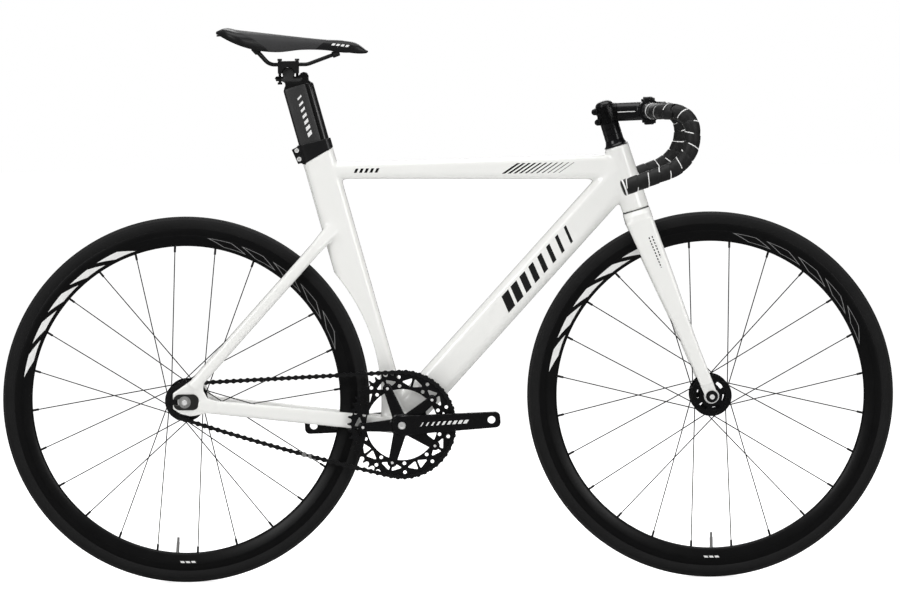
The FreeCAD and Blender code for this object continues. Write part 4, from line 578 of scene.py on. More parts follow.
studio = {
    "cameraAt": (-0.058, -8.9874, 0.9897), "yaw": 0.4, "pitch": -3.0, "roll": -0.5536, "lens": 194.691,
    "sensor": 36, "clipEnd": 100, "white": (1, 1, 1, 1), "worldLight": 0.46, "glossLight": 0.12,
    "floorSize": 60.0, "floorColour": (0.88, 0.88, 0.88, 1), "floorMirrored": (0.16, 0.16, 0.16, 1),
    "floorGlow": 0.66, "floorLook": {"Roughness": 0.9, "Specular_IOR_Level": 0.1},
    "lamps": (("overhead", (0, -0.4, 3.4), (0, 0, 0.5), 3.2, 2.4, 60),
              ("frontLeft", (-2.6, -3.2, 2.2), (0, 0, 0.5), 1.6, 1.6, 46),
              ("frontRight", (2.8, -2.8, 1.8), (0, 0, 0.5), 1.4, 1.4, 30),
              ("behind", (0.3, 3.0, 2.4), (0, 0, 0.6), 2.4, 1.4, 34)),
}


def placed(name, data):
    thing = bpy.data.objects.new(name, data)
    bpy.context.scene.collection.objects.link(thing)
    return thing


def buildStudio():
    s = studio
    data = bpy.data.cameras.new("photoCamera")
    data.lens = s["lens"]
    data.sensor_width = s["sensor"]
    data.clip_end = s["clipEnd"]
    camera = placed("photoCamera", data)
    turn = Matrix.Rotation(math.radians(-s["yaw"]), 4, "Z")
    turn = turn @ Matrix.Rotation(math.radians(90 + s["pitch"]), 4, "X")
    turn = turn @ Matrix.Rotation(math.radians(s["roll"]), 4, "Z")
    camera.matrix_world = Matrix.Translation(s["cameraAt"]) @ turn
    bpy.context.scene.camera = camera
    for name, at, aim, sizeX, sizeY, power in s["lamps"]:
        light = bpy.data.lights.new(name, "AREA")
        light.shape = "RECTANGLE"
        light.size = sizeX
        light.size_y = sizeY
        light.energy = power
        lamp = placed(name, light)
        lamp.location = at
        lamp.rotation_euler = (Vector(aim) - Vector(at)).to_track_quat("-Z", "Y").to_euler()
    world = bpy.data.worlds.new("paleRoom")
    bpy.context.scene.world = world
    world.use_nodes = True
    tree = world.node_tree
    path = addNode(tree, "LightPath").outputs
    seen = mathNode(tree, "MAXIMUM", path["Is Camera Ray"], path["Is Transmission Ray"])
    strength = mathNode(tree, "MULTIPLY_ADD", seen, 1.0 - s["worldLight"], s["worldLight"])
    mirrored = s["glossLight"] - s["worldLight"]
    strength = mathNode(tree, "MULTIPLY_ADD", path["Is Glossy Ray"], mirrored, strength)
    wireUp(tree, tree.nodes["Background"], {"Color": s["white"], "Strength": strength})
    deselectAll()
    bpy.ops.mesh.primitive_plane_add(size=s["floorSize"])
    floor = bpy.context.object
    floor.name = "studioFloor"
    material, tree, shader = newMaterial("floorPale", s["floorLook"])
    path = addNode(tree, "LightPath").outputs
    wireUp(tree, shader, {
        "Base Color": blendColour(tree, path["Is Glossy Ray"], s["floorColour"], s["floorMirrored"]),
        "Emission Color": s["white"],
        "Emission Strength": mathNode(tree, "MULTIPLY", path["Is Camera Ray"], s["floorGlow"])})
    floor.data.materials.append(material)
    bpy.context.scene.view_settings.view_transform = "Standard"


buildStudio()
print("studio set")

# Welded frame

frameShape = {
    "voxel": 0.0022, "relaxing": (8, 4), "fillRounds": 190, "stayFillRounds": 60, "fillFrom": 0.000012,
    "roundSides": 256, "smallSides": 64, "cutHalf": 0.1, "wheelRoom": 0.361, "crispFrom": 50,
    "seatMiddle": -0.0139, "seatSection": (0.061, 0.032, 0.013), "seatSpan": (0.0, 0.62),
    "seatCut": ((0.5418, 0.0776), (0.7258, 0.0776), (0.7, -0.12), (0.4938, -0.1054)),
    "headLength": 0.122, "headTop": 0.0225, "headLow": 0.0255,
    "topTubeSeatAt": 0.4884, "topTubeHeadAt": 0.0829, "topTubeSeatEnd": (0.0285, 0.030, 0.011),
    "topTubeHeadEnd": (0.046, 0.036, 0.011), "downTubeHeadAt": 0.073, "downTubeRise": 0.008,
    "downTubeSection": (0.063, 0.044, 0.018), "crownRoomLow": -0.024, "crownRoom": 0.049,
    "shellHalf": 0.034, "shellRadius": 0.0205, "stayHalf": 0.0635, "staySag": 0.004, "stayTip": 0.026,
    "stayTipSection": (0.0245, 0.014, 0.0065), "staySection": (0.0285, 0.014, 0.0065), "stayWaist": 0.297,
    "stayWaistHalf": 0.027, "stayRoot": 0.01, "stayRootHalf": 0.025, "stayJoin": 0.387, "footRise": 0.026,
    "footAhead": 0.014, "bendRise": 0.340, "bendHalf": 0.028, "joinHalf": 0.0075,
    "riserDepths": (0.022, 0.022, 0.030), "riserWidth": 0.0165, "riserCorner": 0.0075,
    "dropoutFaces": (0.060, 0.067), "slotFaces": (0.05, 0.075),
    "dropout": ((-0.0215, -0.0125), (-0.0215, 0.0165), (0.014, 0.041), (0.036, 0.040), (0.034, 0.021),
                (0.042, 0.006), (0.060, 0.0), (0.060, -0.021), (0.044, -0.0205), (0.011, -0.0262),
                (-0.008, -0.0215)),
    "slot": ((-0.06, -0.0052), (0, -0.0052), (0.0052, 0), (0, 0.0052), (-0.06, 0.0052)),
    "headZone": (0.06, -0.02, 0.16), "topZone": (0.485, 0.01, 0.13), "stayZone": (0.387, -0.04, 0.11),
    "bracketZone": ((0.03, 0, 0.03), 0.13), "endZone": (0.02, 0.005, 0.075), "headBore": 0.0185,
    "headBoreSpan": (-0.01, 0.14), "bracketBore": 0.0172, "bracketBoreHalf": 0.05,
    "postBore": (0.0574, 0.0284, 0.0112), "postBoreSpan": (0.30, 0.62),
    "downPrint": dict(start=0.285, length=0.196, height=0.030, cells=8.0, fill=0.80, taper=-0.62, slant=0.45),
    "topPrints": (dict(start=0.060, length=0.048, height=0.008, cells=5.0, fill=0.55, slant=0.5),
                  dict(start=0.345, length=0.115, height=0.019, cells=11.0, fill=0.62, taper=-0.5, slant=1.5)),
    "printAside": 0.008,
}


def tubeLines():
    # ends and directions of the top tube and the down tube
    s = frameShape
    seatEnd = seatPoint(s["topTubeSeatAt"], s["seatMiddle"])
    headEnd = steerPoint(s["topTubeHeadAt"])
    low = bracket + upright * s["downTubeRise"]
    high = steerPoint(s["downTubeHeadAt"])
    return [(start, end, (end - start).normalized()) for start, end in ((seatEnd, headEnd), (low, high))]


def stripAlong(strip, start, way, aside):
    return {**strip, "at": start + way * strip["start"], "way": way, "over": squareTo(way), "aside": aside}


def framePrints():
    # plain blocks along the down tube and the top tube
    s = frameShape
    (seatEnd, _, topWay), (low, _, downWay) = tubeLines()
    prints = [stripAlong(s["downPrint"], low, downWay, s["printAside"])]
    return prints + [stripAlong(strip, seatEnd, topWay, s["printAside"]) for strip in s["topPrints"]]


def mainTubes():
    s = frameShape
    (seatEnd, headEnd, topWay), (low, high, downWay) = tubeLines()
    seatTube = loftTube("frameSeatTube", [(seatPoint(height, s["seatMiddle"]), seatFront, *s["seatSection"])
                                          for height in s["seatSpan"]])
    seatCut = [seatPoint(height, forward) for height, forward in s["seatCut"]]
    carve(seatTube, [sidePlate("seatTopCut", seatCut, -s["cutHalf"], s["cutHalf"]),
                     crossRod("wheelCut", rearAxle, s["cutHalf"], s["wheelRoom"], s["roundSides"])])
    head = rodBetween("frameHead", crown, crown + steerUp * s["headLength"], s["headLow"], s["headTop"],
                      s["smallSides"])
    topTube = loftTube("frameTopTube", [(seatEnd, squareTo(topWay), *s["topTubeSeatEnd"]),
                                        (headEnd, squareTo(topWay), *s["topTubeHeadEnd"])])
    downTube = loftTube("frameDownTube", [(place, squareTo(downWay), *s["downTubeSection"])
                                          for place in (low, high)])
    carve(downTube, [rodBetween("crownRoom", steerPoint(s["crownRoomLow"]), steerPoint(0.0), s["crownRoom"]),
                     crossRod("wheelCut", rearAxle, s["cutHalf"], s["wheelRoom"], s["roundSides"])])
    shell = crossRod("frameShell", bracket, s["shellHalf"], s["shellRadius"], s["smallSides"])
    return [seatTube, head, topTube, downTube, shell]


def rearStays(side):
    s = frameShape
    along = (bracket - rearAxle).normalized()
    over = squareTo(along)
    half = s["stayHalf"] * side
    sag = upright * s["staySag"]
    tip = rearAxle - sag + along * s["stayTip"] + across * half
    waist = rearAxle - sag + along * s["stayWaist"] + across * (s["stayWaistHalf"] * side)
    root = bracket - sag - ahead * s["stayRoot"] + across * (s["stayRootHalf"] * side)
    chainStay = loftTube("frameChainStay", [(tip, over, *s["stayTipSection"]), (waist, over, *s["staySection"]),
                                            (root, over, *s["staySection"])])
    join = seatPoint(s["stayJoin"], s["seatMiddle"])
    foot = rearAxle + upright * s["footRise"] + ahead * s["footAhead"]
    rise = (join - foot).normalized()
    places = [foot + across * half, foot + rise * s["bendRise"] + across * (s["bendHalf"] * side),
              join + across * (s["joinHalf"] * side)]
    seatStay = loftTube("frameSeatStay", [(place, squareTo(rise), depth, s["riserWidth"], s["riserCorner"])
                                          for place, depth in zip(places, s["riserDepths"])])
    outline = [rearAxle + ahead * x + upright * z for x, z in s["dropout"]]
    dropout = sidePlate("frameDropout", outline, *sorted(face * side for face in s["dropoutFaces"]))
    return [chainStay, seatStay, dropout]


def buildFrame():
    s = frameShape
    parts = mainTubes()
    zones = [(steerPoint(*s["headZone"][:2]), s["headZone"][2])]
    zones += [(seatPoint(*s[zone][:2]), s[zone][2]) for zone in ("topZone", "stayZone")]
    zones.append((bracket + Vector(s["bracketZone"][0]), s["bracketZone"][1]))
    endAhead, endRise, endReach = s["endZone"]
    ends = []
    for side in (-1, 1):
        parts += rearStays(side)
        ends.append((rearAxle + Vector((endAhead, side * s["stayHalf"], endRise)), endReach))
    weld = melted(joined("frameWeldment", parts), s["voxel"], s["relaxing"],
                  [(s["fillRounds"], s["fillFrom"], zones), (s["stayFillRounds"], s["fillFrom"], ends)])
    cutters = [rodBetween("headBore", *(steerPoint(height) for height in s["headBoreSpan"]), s["headBore"]),
               crossRod("bracketBore", bracket, s["bracketBoreHalf"], s["bracketBore"]),
               loftTube("postBore", [(seatPoint(height, s["seatMiddle"]), seatFront, *s["postBore"])
                                     for height in s["postBoreSpan"]])]
    slot = [rearAxle + Vector((x, 0, z)) for x, z in s["slot"]]
    for side in (-1, 1):
        cutters.append(sidePlate("axleSlot", slot, *sorted(face * side for face in s["slotFaces"])))
    carve(weld, cutters)
    paint = coatedMaterial("framePaint", finishes["whitePaint"], printed(printInk["black"], framePrints()))
    finishPiece(weld, s["crispFrom"], "frame", paint, "white_paint", "head_tube", "top_tube", "down_tube",
                "seat_tube", "bottom_bracket_shell", "chain_stay_right", "chain_stay_left", "seat_stay_right",
                "seat_stay_left", "dropout_right", "dropout_left")
    print("frame done:", triangleCount(weld), "triangles")


buildFrame()

# Fork

forkShape = {
    "voxel": 0.0016, "relaxing": (6, 3), "fillRounds": 150, "fillFrom": 0.000008, "crispFrom": 50,
    "crownTop": -0.0022, "crownLow": -0.024, "headLow": 0.0255, "topCorner": 0.0254, "crownDepth": 0.0515,
    "crownWidth": 0.082, "topWidth": 0.066, "shoulderLow": -0.0095, "shoulderWidth": 0.077,
    "crownCorner": 0.018, "drops": (0.020, 0.125, 0.265, 0.345), "dropCount": 15,
    "depths": (0.0505, 0.0420, 0.0275, 0.0238),
    "widths": (0.019, 0.019, 0.0155, 0.012), "cornerShare": 0.42, "rootHalf": 0.0315, "tipHalf": 0.05325,
    "offset": 0.032, "axleDrop": 0.3683, "tipFaces": (0.050, 0.0565), "tipRadius": 0.011, "archRadius": 0.344,
    "archHalf": 0.022, "archSides": 256, "steererLow": -0.012, "steererTop": 0.1995, "steererRadius": 0.0143,
    "raceTop": 0.012, "raceRadius": 0.0165, "slotHalf": 0.00465, "slotDrop": 0.04, "slotSteps": 17,
    "slotOver": 0.003, "hubRoom": 0.06, "crownZone": (-0.03, 0.085), "tipZone": 0.05,
    "seal": ((0.0168, -0.0021), (0.0250, -0.0021), (0.0252, -0.0011), (0.0250, -0.0002), (0.0168, -0.0002)),
    "sealSides": 64, "sealCrisp": 30, "printDrops": (0.055, 0.150),
    "printRows": ((0.004, 0.060), (0.010, 0.042)),
    "printHeight": 0.0022, "printPace": 170, "printFill": 0.6, "printAside": 0.02,
}


def bladePlace(drop, side):
    s = forkShape
    reach = (drop + s["crownLow"]) / (s["drops"][-1] + s["crownLow"])
    half = s["rootHalf"] + (s["tipHalf"] - s["rootHalf"]) * reach
    forward = s["offset"] * (drop + s["crownLow"]) / (s["axleDrop"] + s["crownLow"])
    return steerPoint(-drop, forward, side * half)


def forkPrints():
    # two rows of dashes down the blade
    s = forkShape
    root, lower = (bladePlace(drop, -1) for drop in s["printDrops"])
    way = Vector((lower.x - root.x, 0, lower.z - root.z)).normalized()
    over = squareTo(way)
    return [{"at": root + over * shift, "way": way, "over": over, "length": length, "height": s["printHeight"],
             "cells": length * s["printPace"], "fill": s["printFill"], "aside": s["printAside"]}
            for shift, length in s["printRows"]]


def buildFork():
    s = forkShape
    crownLoops = [(s["crownTop"], 2 * s["headLow"], s["topWidth"], s["topCorner"]),
                  (s["shoulderLow"], s["crownDepth"], s["shoulderWidth"], s["crownCorner"]),
                  (s["crownLow"], s["crownDepth"], s["crownWidth"], s["crownCorner"])]
    parts = [loftTube("forkCrown", [(steerPoint(height), steerFront, *size) for height, *size in crownLoops])]
    for part in ("steerer", "race"):
        parts.append(rodBetween("fork" + part.title(), steerPoint(s["steererLow"]), steerPoint(s[part + "Top"]),
                                s[part + "Radius"]))
    drops = np.linspace(s["drops"][0], s["drops"][-1], s["dropCount"])
    depths, widths = (flowing(s["drops"], s[key], drops) for key in ("depths", "widths"))
    cutters = [crossRod("tyreArch", frontAxle, s["archHalf"], s["archRadius"], s["archSides"])]
    slot = [frontAxle + sideWay(turn) * s["slotHalf"] for turn in np.linspace(0, math.pi, s["slotSteps"])]
    slot += [frontAxle + Vector((sign * s["slotHalf"], 0, -s["slotDrop"])) for sign in (-1, 1)]
    zones = [(steerPoint(s["crownZone"][0]), s["crownZone"][1])]
    for side in (-1, 1):
        blade = [(bladePlace(drop, side), steerFront, depth, width, width * s["cornerShare"])
                 for drop, depth, width in zip(drops, depths, widths)]
        parts.append(loftTube("forkBlade", blade))
        low, high = sorted(side * face for face in s["tipFaces"])
        foot = bladePlace(drops[-1], side)
        outline = capsuleOutline(foot, s["depths"][-1] / 2, frontAxle, s["tipRadius"])
        parts.append(sidePlate("forkTip", outline, low, high))
        cutters.append(sidePlate("tipSlot", slot, low - s["slotOver"], high + s["slotOver"]))
        face = side * s["tipFaces"][0]
        cutters.append(rodBetween("hubRoom", frontAxle, frontAxle + across * face, s["hubRoom"]))
        zones.append((foot, s["tipZone"]))
    fork = melted(joined("forkWeldment", parts), s["voxel"], s["relaxing"],
                  [(s["fillRounds"], s["fillFrom"], zones)])
    carve(fork, cutters)
    paint = coatedMaterial("forkPaint", finishes["whitePaint"], printed(printInk["black"], forkPrints()))
    finishPiece(fork, s["crispFrom"], "fork", paint, "white_paint", "fork_crown", "fork_blade_right",
                "fork_blade_left")
    seal = lathe("crownSeal", s["seal"] + s["seal"][:1], crown, steerUp, s["sealSides"])
    finishPiece(seal, s["sealCrisp"], "fork", coats["blackMatte"], "black_plastic")
    print("fork done:", triangleCount(fork), "triangles")


buildFork()

# Rims and tyres

wheelShape = {
    "rimProfile": [(0.2842, 0.0), (0.2843, 0.0018), (0.2849, 0.0034), (0.2862, 0.0050), (0.2888, 0.0064),
                   (0.2930, 0.0081), (0.2980, 0.0098), (0.3020, 0.0109), (0.3038, 0.0113), (0.3041, 0.0111),
                   (0.3044, 0.0111), (0.3047, 0.01145), (0.3100, 0.0115), (0.3162, 0.0115), (0.3168, 0.0113),
                   (0.3170, 0.0108), (0.3169, 0.0098), (0.3164, 0.0092), (0.3112, 0.0091), (0.3075, 0.0064),
                   (0.3040, 0.0045), (0.3038, 0.0)],
    "tyreRing": 0.325, "tyreSection": 0.014, "tyreInner": 0.0114, "tyreTurns": (-142, 142), "segments": 240,
    "ridges": ((0.98, 0.00022), (1.32, 0.00026), (2.02, 0.0003)), "ridgeWidth": 0.035, "beadRadius": 0.3112,
    "outerSteps": 96, "innerSteps": 40, "merge": 0.000005, "rimCrisp": 32, "tyreCrisp": 40,
    "rimLook": dict(colour=(0.0030, 0.0030, 0.0032), shade=0.5, scale=30.0, grain=2400.0, roughness=0.34,
                    drift=0.1, bump=0.08, Specular_IOR_Level=0.22),
    "tyreLook": dict(colour=(0.0115, 0.0115, 0.0117), shade=0.45, scale=22.0, grain=1700.0, roughness=0.62,
                     drift=0.12, bump=0.25, bumpDepth=0.0003, Specular_IOR_Level=0.12),
    "treadFrom": 0.3335, "treadShare": 0.6, "treadColour": (0.024, 0.024, 0.024, 1), "knobs": 460,
    "knobSkew": 900.0, "knobDepth": 0.5, "hollowFrom": 0.43,
}
rimPrints = [
    {"colour": (0.80, 0.80, 0.79, 1),
     "bars": {"Start": 0.30, "Span": 0.17, "Count": 5.0, "Filled": 0.66, "Slant": -45.0, "Inner": 0.2905,
              "Outer": 0.3020, "Hollow": 0.0}},
    {"colour": (0.22, 0.22, 0.22, 1),
     "bars": {"Start": 0.05, "Span": 0.17, "Count": 5.0, "Filled": 0.7, "Slant": -45.0, "Inner": 0.2905,
              "Outer": 0.3020, "Hollow": 1.0}},
    {"colour": (0.75, 0.75, 0.74, 1),
     "bars": {"Start": 0.742, "Span": 0.016, "Count": 3.0, "Filled": 0.72, "Slant": -60.0, "Inner": 0.2990,
              "Outer": 0.3024, "Hollow": 0.0}},
]
wheels = {"rear": rearAxle, "front": frontAxle}


def buildBarGroup():
    # slanted bars printed on a ring between two reaches, from one turn to another
    labels = ("Turn", "Reach", *rimPrints[0]["bars"])
    group, entry, leave = newGroup("ringBars", [(label, "Float", 0.0) for label in labels], [("Mask", "Float")])
    along = mathNode(group, "DIVIDE", mathNode(group, "SUBTRACT", entry["Turn"], entry["Start"]), entry["Span"])
    height = mathNode(group, "SUBTRACT", entry["Reach"], entry["Inner"])
    lean = mathNode(group, "MULTIPLY", height, entry["Slant"])
    run = mathNode(group, "MULTIPLY_ADD", along, entry["Count"], lean)
    cell = mathNode(group, "FRACT", run)
    tall = mathNode(group, "SUBTRACT", entry["Outer"], entry["Inner"])
    edges = []
    for part, whole in ((cell, entry["Filled"]), (height, tall)):
        centred = mathNode(group, "SUBTRACT", mathNode(group, "DIVIDE", part, whole), 0.5)
        edges.append(mathNode(group, "ABSOLUTE", centred))
    rimmed = mathNode(group, "GREATER_THAN", mathNode(group, "MAXIMUM", *edges), wheelShape["hollowFrom"])
    shown = mathNode(group, "MAXIMUM", rimmed, mathNode(group, "SUBTRACT", 1.0, entry["Hollow"]))
    mask = allOf(group, mathNode(group, "LESS_THAN", cell, entry["Filled"]),
                 between(group, run, 0.0, entry["Count"]),
                 between(group, entry["Reach"], entry["Inner"], entry["Outer"]), shown)
    group.links.new(mask, leave["Mask"])
    return group


barGroup = buildBarGroup()


def rimMarks(axle):
    # plain printed bars
    def marks(tree, place, finish):
        wheel = wheelPlace(tree, place, axle)
        colour = finish["Colour"]
        for arc in rimPrints:
            bars = placeGroup(tree, barGroup, {"Turn": wheel["Turn"], "Reach": wheel["Reach"], **arc["bars"]})
            colour = blendColour(tree, bars.outputs["Mask"], colour, arc["colour"])
        return {"Base Color": colour}
    return marks


def tyreMarks(axle):
    # a paler tread with a fine moulded texture
    def marks(tree, place, finish):
        s = wheelShape
        wheel = wheelPlace(tree, place, axle)
        tread = mathNode(tree, "GREATER_THAN", wheel["Reach"], s["treadFrom"])
        share = mathNode(tree, "MULTIPLY", tread, s["treadShare"])
        turns = mathNode(tree, "MULTIPLY", wheel["Turn"], fullTurn * s["knobs"])
        aside = mathNode(tree, "ABSOLUTE", wheel["Across"])
        skew = mathNode(tree, "MULTIPLY_ADD", aside, s["knobSkew"], turns)
        ripple = allOf(tree, mathNode(tree, "SINE", skew), tread, s["knobDepth"])
        return {"Base Color": blendColour(tree, share, finish["Colour"], s["treadColour"]), "Relief": ripple}
    return marks


def buildWheelRings(name, axle):
    s = wheelShape
    near = s["rimProfile"]
    rimProfile = near + [(reach, -aside) for reach, aside in reversed(near[1:-1])]
    low, high = (math.radians(turn) for turn in s["tyreTurns"])
    casing = [(turn, s["tyreSection"] + sum(rise * math.exp(-((abs(turn) - at) / s["ridgeWidth"]) ** 2)
                                            for at, rise in s["ridges"]))
              for turn in np.linspace(low, high, s["outerSteps"])]
    casing += [(turn, s["tyreInner"]) for turn in np.linspace(high, low, s["innerSteps"])]
    tyreProfile = [(max(s["tyreRing"] + reach * math.cos(turn), s["beadRadius"]), reach * math.sin(turn))
                   for turn, reach in casing]
    rim = lathe(name + "RimRing", rimProfile + rimProfile[:1], axle, across, s["segments"])
    evenNormals(rim, s["merge"])
    satin = coatedMaterial(name + "RimSatin", s["rimLook"], rimMarks(axle))
    finishPiece(rim, s["rimCrisp"], name + "_wheel", satin, "black_alloy", name + "_rim")
    tyre = lathe(name + "TyreCasing", tyreProfile + tyreProfile[:1], axle, across, s["segments"])
    evenNormals(tyre, s["merge"])
    rubber = coatedMaterial(name + "TyreRubber", s["tyreLook"], tyreMarks(axle))
    finishPiece(tyre, s["tyreCrisp"], name + "_wheel", rubber, "tyre_rubber", name + "_tyre")


for wheelName, wheelAxle in wheels.items():
    buildWheelRings(wheelName, wheelAxle)
print("rims and tyres done")

# Bar tape, finishing rings and end plugs

tapeShape = {
    "barAt": (0.37626, 0, 0.86514), "start": (0.0026, 0.081, 0), "bends": (0.044, 0.038, 0.070), "step": 0.002,
    "path": ((0.014, 0.165, 0), (0.069, 0.184, 0), (0.069, 0.190, 0.0922), (-0.058, 0.196, 0.137)),
    "pitch": 0.021, "columns": 33, "spareLaps": 2, "bendSteps": 3, "merge": 0.000003, "sides": 48,
    "wrap": ((0.0, 0.01335), (0.035, 0.01340), (0.06, 0.01425), (0.09, 0.01462), (0.30, 0.01458),
             (0.60, 0.01440), (0.90, 0.01405)),
    "unevenness": 0.00014, "waves": ((2.7, 3), (1.3, -2)), "tapeCrisp": 60, "crispFrom": 40,
    "plugProfile": ((0.0, 0.0024), (0.009, 0.0023), (0.0122, 0.0017), (0.0134, 0.0007), (0.0136, 0.0),
                    (0.0136, -0.001), (0.0096, -0.001), (0.0096, -0.015), (0.0, -0.015)),
    "endRing": ((0.01490, -0.0041), (0.01505, -0.0035), (0.01505, -0.0017), (0.01490, -0.0011),
                (0.0128, -0.0011), (0.0128, -0.0041), (0.01490, -0.0041)),
    "band": ((0.0120, 0.0), (0.0146, 0.0), (0.0149, 0.0004), (0.0149, 0.0034), (0.0146, 0.0037),
             (0.0120, 0.0037), (0.0120, 0.0)),
    "look": dict(colour=(0.014, 0.014, 0.014), shade=0.7, scale=70.0, grain=1500.0, roughness=0.5, drift=0.15,
                 bump=0.35, bumpDepth=0.0003, Specular_IOR_Level=0.3),
    "edge": (0.052, 0.135), "raggedScale": 160.0, "raggedDetail": 2.0, "raggedShare": 0.05, "dashPace": 1.618,
    "dashFill": 0.52, "ink": (0.82, 0.82, 0.81, 1), "poreScale": 900.0,
}
barAt = Vector(tapeShape["barAt"])


def roundedPath(points, radii, step):
    # corner points to evenly sampled places, with the corners rounded
    places = [points[0]]
    for before, corner, after, radius in zip(points, points[1:], points[2:], radii):
        arriving = (corner - before).normalized()
        leaving = (after - corner).normalized()
        turn = arriving.angle(leaving)
        reach = radius * math.tan(turn / 2)
        inward = (leaving - arriving).normalized()
        centre = corner + inward * (radius / math.cos(turn / 2))
        begin = corner - arriving * reach - centre
        axle = arriving.cross(leaving).normalized()
        for share in np.linspace(0, 1, max(tapeShape["bendSteps"], int(turn * radius / step) + 1)):
            places.append(centre + Matrix.Rotation(turn * share, 3, axle) @ begin)
    places.append(points[-1])
    corners = np.array([list(place) for place in places])
    lengths = np.concatenate(([0], np.cumsum(np.linalg.norm(np.diff(corners, axis=0), axis=1))))
    along = np.linspace(0, lengths[-1], int(lengths[-1] / step) + 1)
    return along, np.column_stack([np.interp(along, lengths, corners[:, axis]) for axis in range(3)])


def carriedFrames(places):
    # two directions square to the path, carried along without twist
    ways = np.gradient(places, axis=0)
    ways /= np.linalg.norm(ways, axis=1)[:, None]
    side = Vector(ways[0]).orthogonal().normalized()
    sides = []
    for way in ways:
        way = Vector(way)
        side = (side - way * side.dot(way)).normalized()
        sides.append(list(side))
    sides = np.array(sides)
    return ways, sides, np.cross(ways, sides)


def tapeMarks(tree, place, finish):
    # pale broken marks along the exposed edge of each lap, and pores
    s = tapeShape
    chart = addNode(tree, "SeparateXYZ", {0: addNode(tree, "UVMap", uv_map="wraps").outputs[0]}).outputs
    edge = between(tree, mathNode(tree, "FRACT", chart[1]), *s["edge"])
    run = mathNode(tree, "ADD", mathNode(tree, "FLOOR", chart[1]), chart[0])
    ragged = addNode(tree, "TexNoise", {"Vector": place, "Scale": s["raggedScale"],
                                        "Detail": s["raggedDetail"]}).outputs[0]
    shaken = mathNode(tree, "MULTIPLY", ragged, s["raggedShare"])
    dash = mathNode(tree, "FRACT", mathNode(tree, "MULTIPLY_ADD", run, s["dashPace"], shaken))
    mark = allOf(tree, edge, mathNode(tree, "LESS_THAN", dash, s["dashFill"]))
    pores = addNode(tree, "TexVoronoi", {"Vector": place, "Scale": s["poreScale"]}).outputs["Distance"]
    return {"Base Color": blendColour(tree, mark, finish["Colour"], s["ink"]), "Relief": pores}


def wrapSide(side):
    s = tapeShape
    corners = [barAt + Vector((lead, side * half, -drop)) for lead, half, drop in (s["start"], *s["path"])]
    along, places = roundedPath(corners, s["bends"], s["step"])
    ways, sides, thirds = carriedFrames(places)
    length = along[-1]
    wraps = math.ceil(length / s["pitch"]) + s["spareLaps"]
    rows = [(wrap + share, radius) for wrap in range(-1, wraps) for share, radius in s["wrap"]]
    turns = np.linspace(0, fullTurn, s["columns"])
    grid = np.empty((len(rows), s["columns"], 3))
    chart = np.empty((len(rows), s["columns"], 2))
    for index, (wrap, radius) in enumerate(rows):
        spot = np.clip((wrap + turns / fullTurn) * s["pitch"], 0, length)
        frames = [np.column_stack([np.interp(spot, along, field[:, axis]) for axis in range(3)])
                  for field in (places, sides, thirds)]
        uneven = s["unevenness"] * sum(np.sin(wrap * pace + count * turns) for pace, count in s["waves"])
        reach = (radius + uneven)[:, None]
        grid[index] = frames[0] + reach * (np.cos(turns * side)[:, None] * frames[1]
                                           + np.sin(turns * side)[:, None] * frames[2])
        chart[index, :, 0] = turns / fullTurn
        chart[index, :, 1] = wrap + s["spareLaps"]
    tape = gridPiece("tapeWrap", grid)
    corner = np.empty(len(tape.data.loops), np.int64)
    tape.data.loops.foreach_get("vertex_index", corner)
    tape.data.uv_layers[0].name = "wraps"
    tape.data.uv_layers[0].data.foreach_set("uv", chart.reshape(-1, 2)[corner].astype(np.float32).ravel())
    evenNormals(tape, s["merge"])
    rings = [lathe("tapeBand", s["band"], places[0], ways[0], s["sides"]),
             lathe("plugRing", s["endRing"], places[-1], ways[-1], s["sides"])]
    return tape, rings, lathe("barPlug", s["plugProfile"], places[-1], ways[-1], s["sides"])


def buildTape():
    s = tapeShape
    tapes, rings, plugs = zip(*(wrapSide(side) for side in (-1, 1)))
    tape = joined("barTapeWrap", tapes)
    cork = coatedMaterial("tapeCork", s["look"], tapeMarks)
    finishPiece(tape, s["tapeCrisp"], "fork", cork, "bar_tape", "bar_tape")
    ring = joined("barFinishRings", rings[0] + rings[1])
    finishPiece(ring, s["crispFrom"], "fork", coats["whitePlastic"], "white_paint")
    plug = joined("barEndCaps", plugs)
    finishPiece(plug, s["crispFrom"], "fork", coats["blackSatin"], "black_plastic", "bar_end_plugs")
    print("tape done:", triangleCount(tape), "triangles")


buildTape()

# Cap screws, with a profile in shares of the head

boltShape = {
    "radius": 0.0042, "length": 0.004, "shank": 0.0025, "turns": 37, "flat": math.pi / 3, "socketRows": (1, 2),
    "head": ((0.0, 0.35), (0.58, 0.35), (0.58, 0.96), (0.74, 1.0), (0.95, 0.96), (1.0, 0.86), (1.0, 0.0)),
    "crispFrom": 30,
}


def socketBolt(name, seat, way, shankLength):
    # cap head with a six-sided socket, head at the near side of the seat
    s = boltShape
    profile = [(s["radius"] * reach, -s["length"] * height) for reach, height in s["head"]]
    profile += [(s["shank"], 0.0), (s["shank"], shankLength), (0.0, shankLength)]
    first = way.orthogonal().normalized()
    second = way.cross(first)
    turns = np.linspace(0, fullTurn, s["turns"])
    flat = s["flat"]
    rows = []
    for index, (reach, height) in enumerate(profile):
        reaches = np.full(len(turns), reach)
        if index in s["socketRows"]:
            reaches = reach * math.cos(flat / 2) / np.cos((turns % flat) - flat / 2)
        rows.append([list(seat + way * height + (first * math.cos(turn) + second * math.sin(turn)) * far)
                     for turn, far in zip(turns, reaches)])
    return evenNormals(gridPiece(name, np.array(rows)), tooling["latheMerge"])


# Stem, its bolts, spacers and top cap

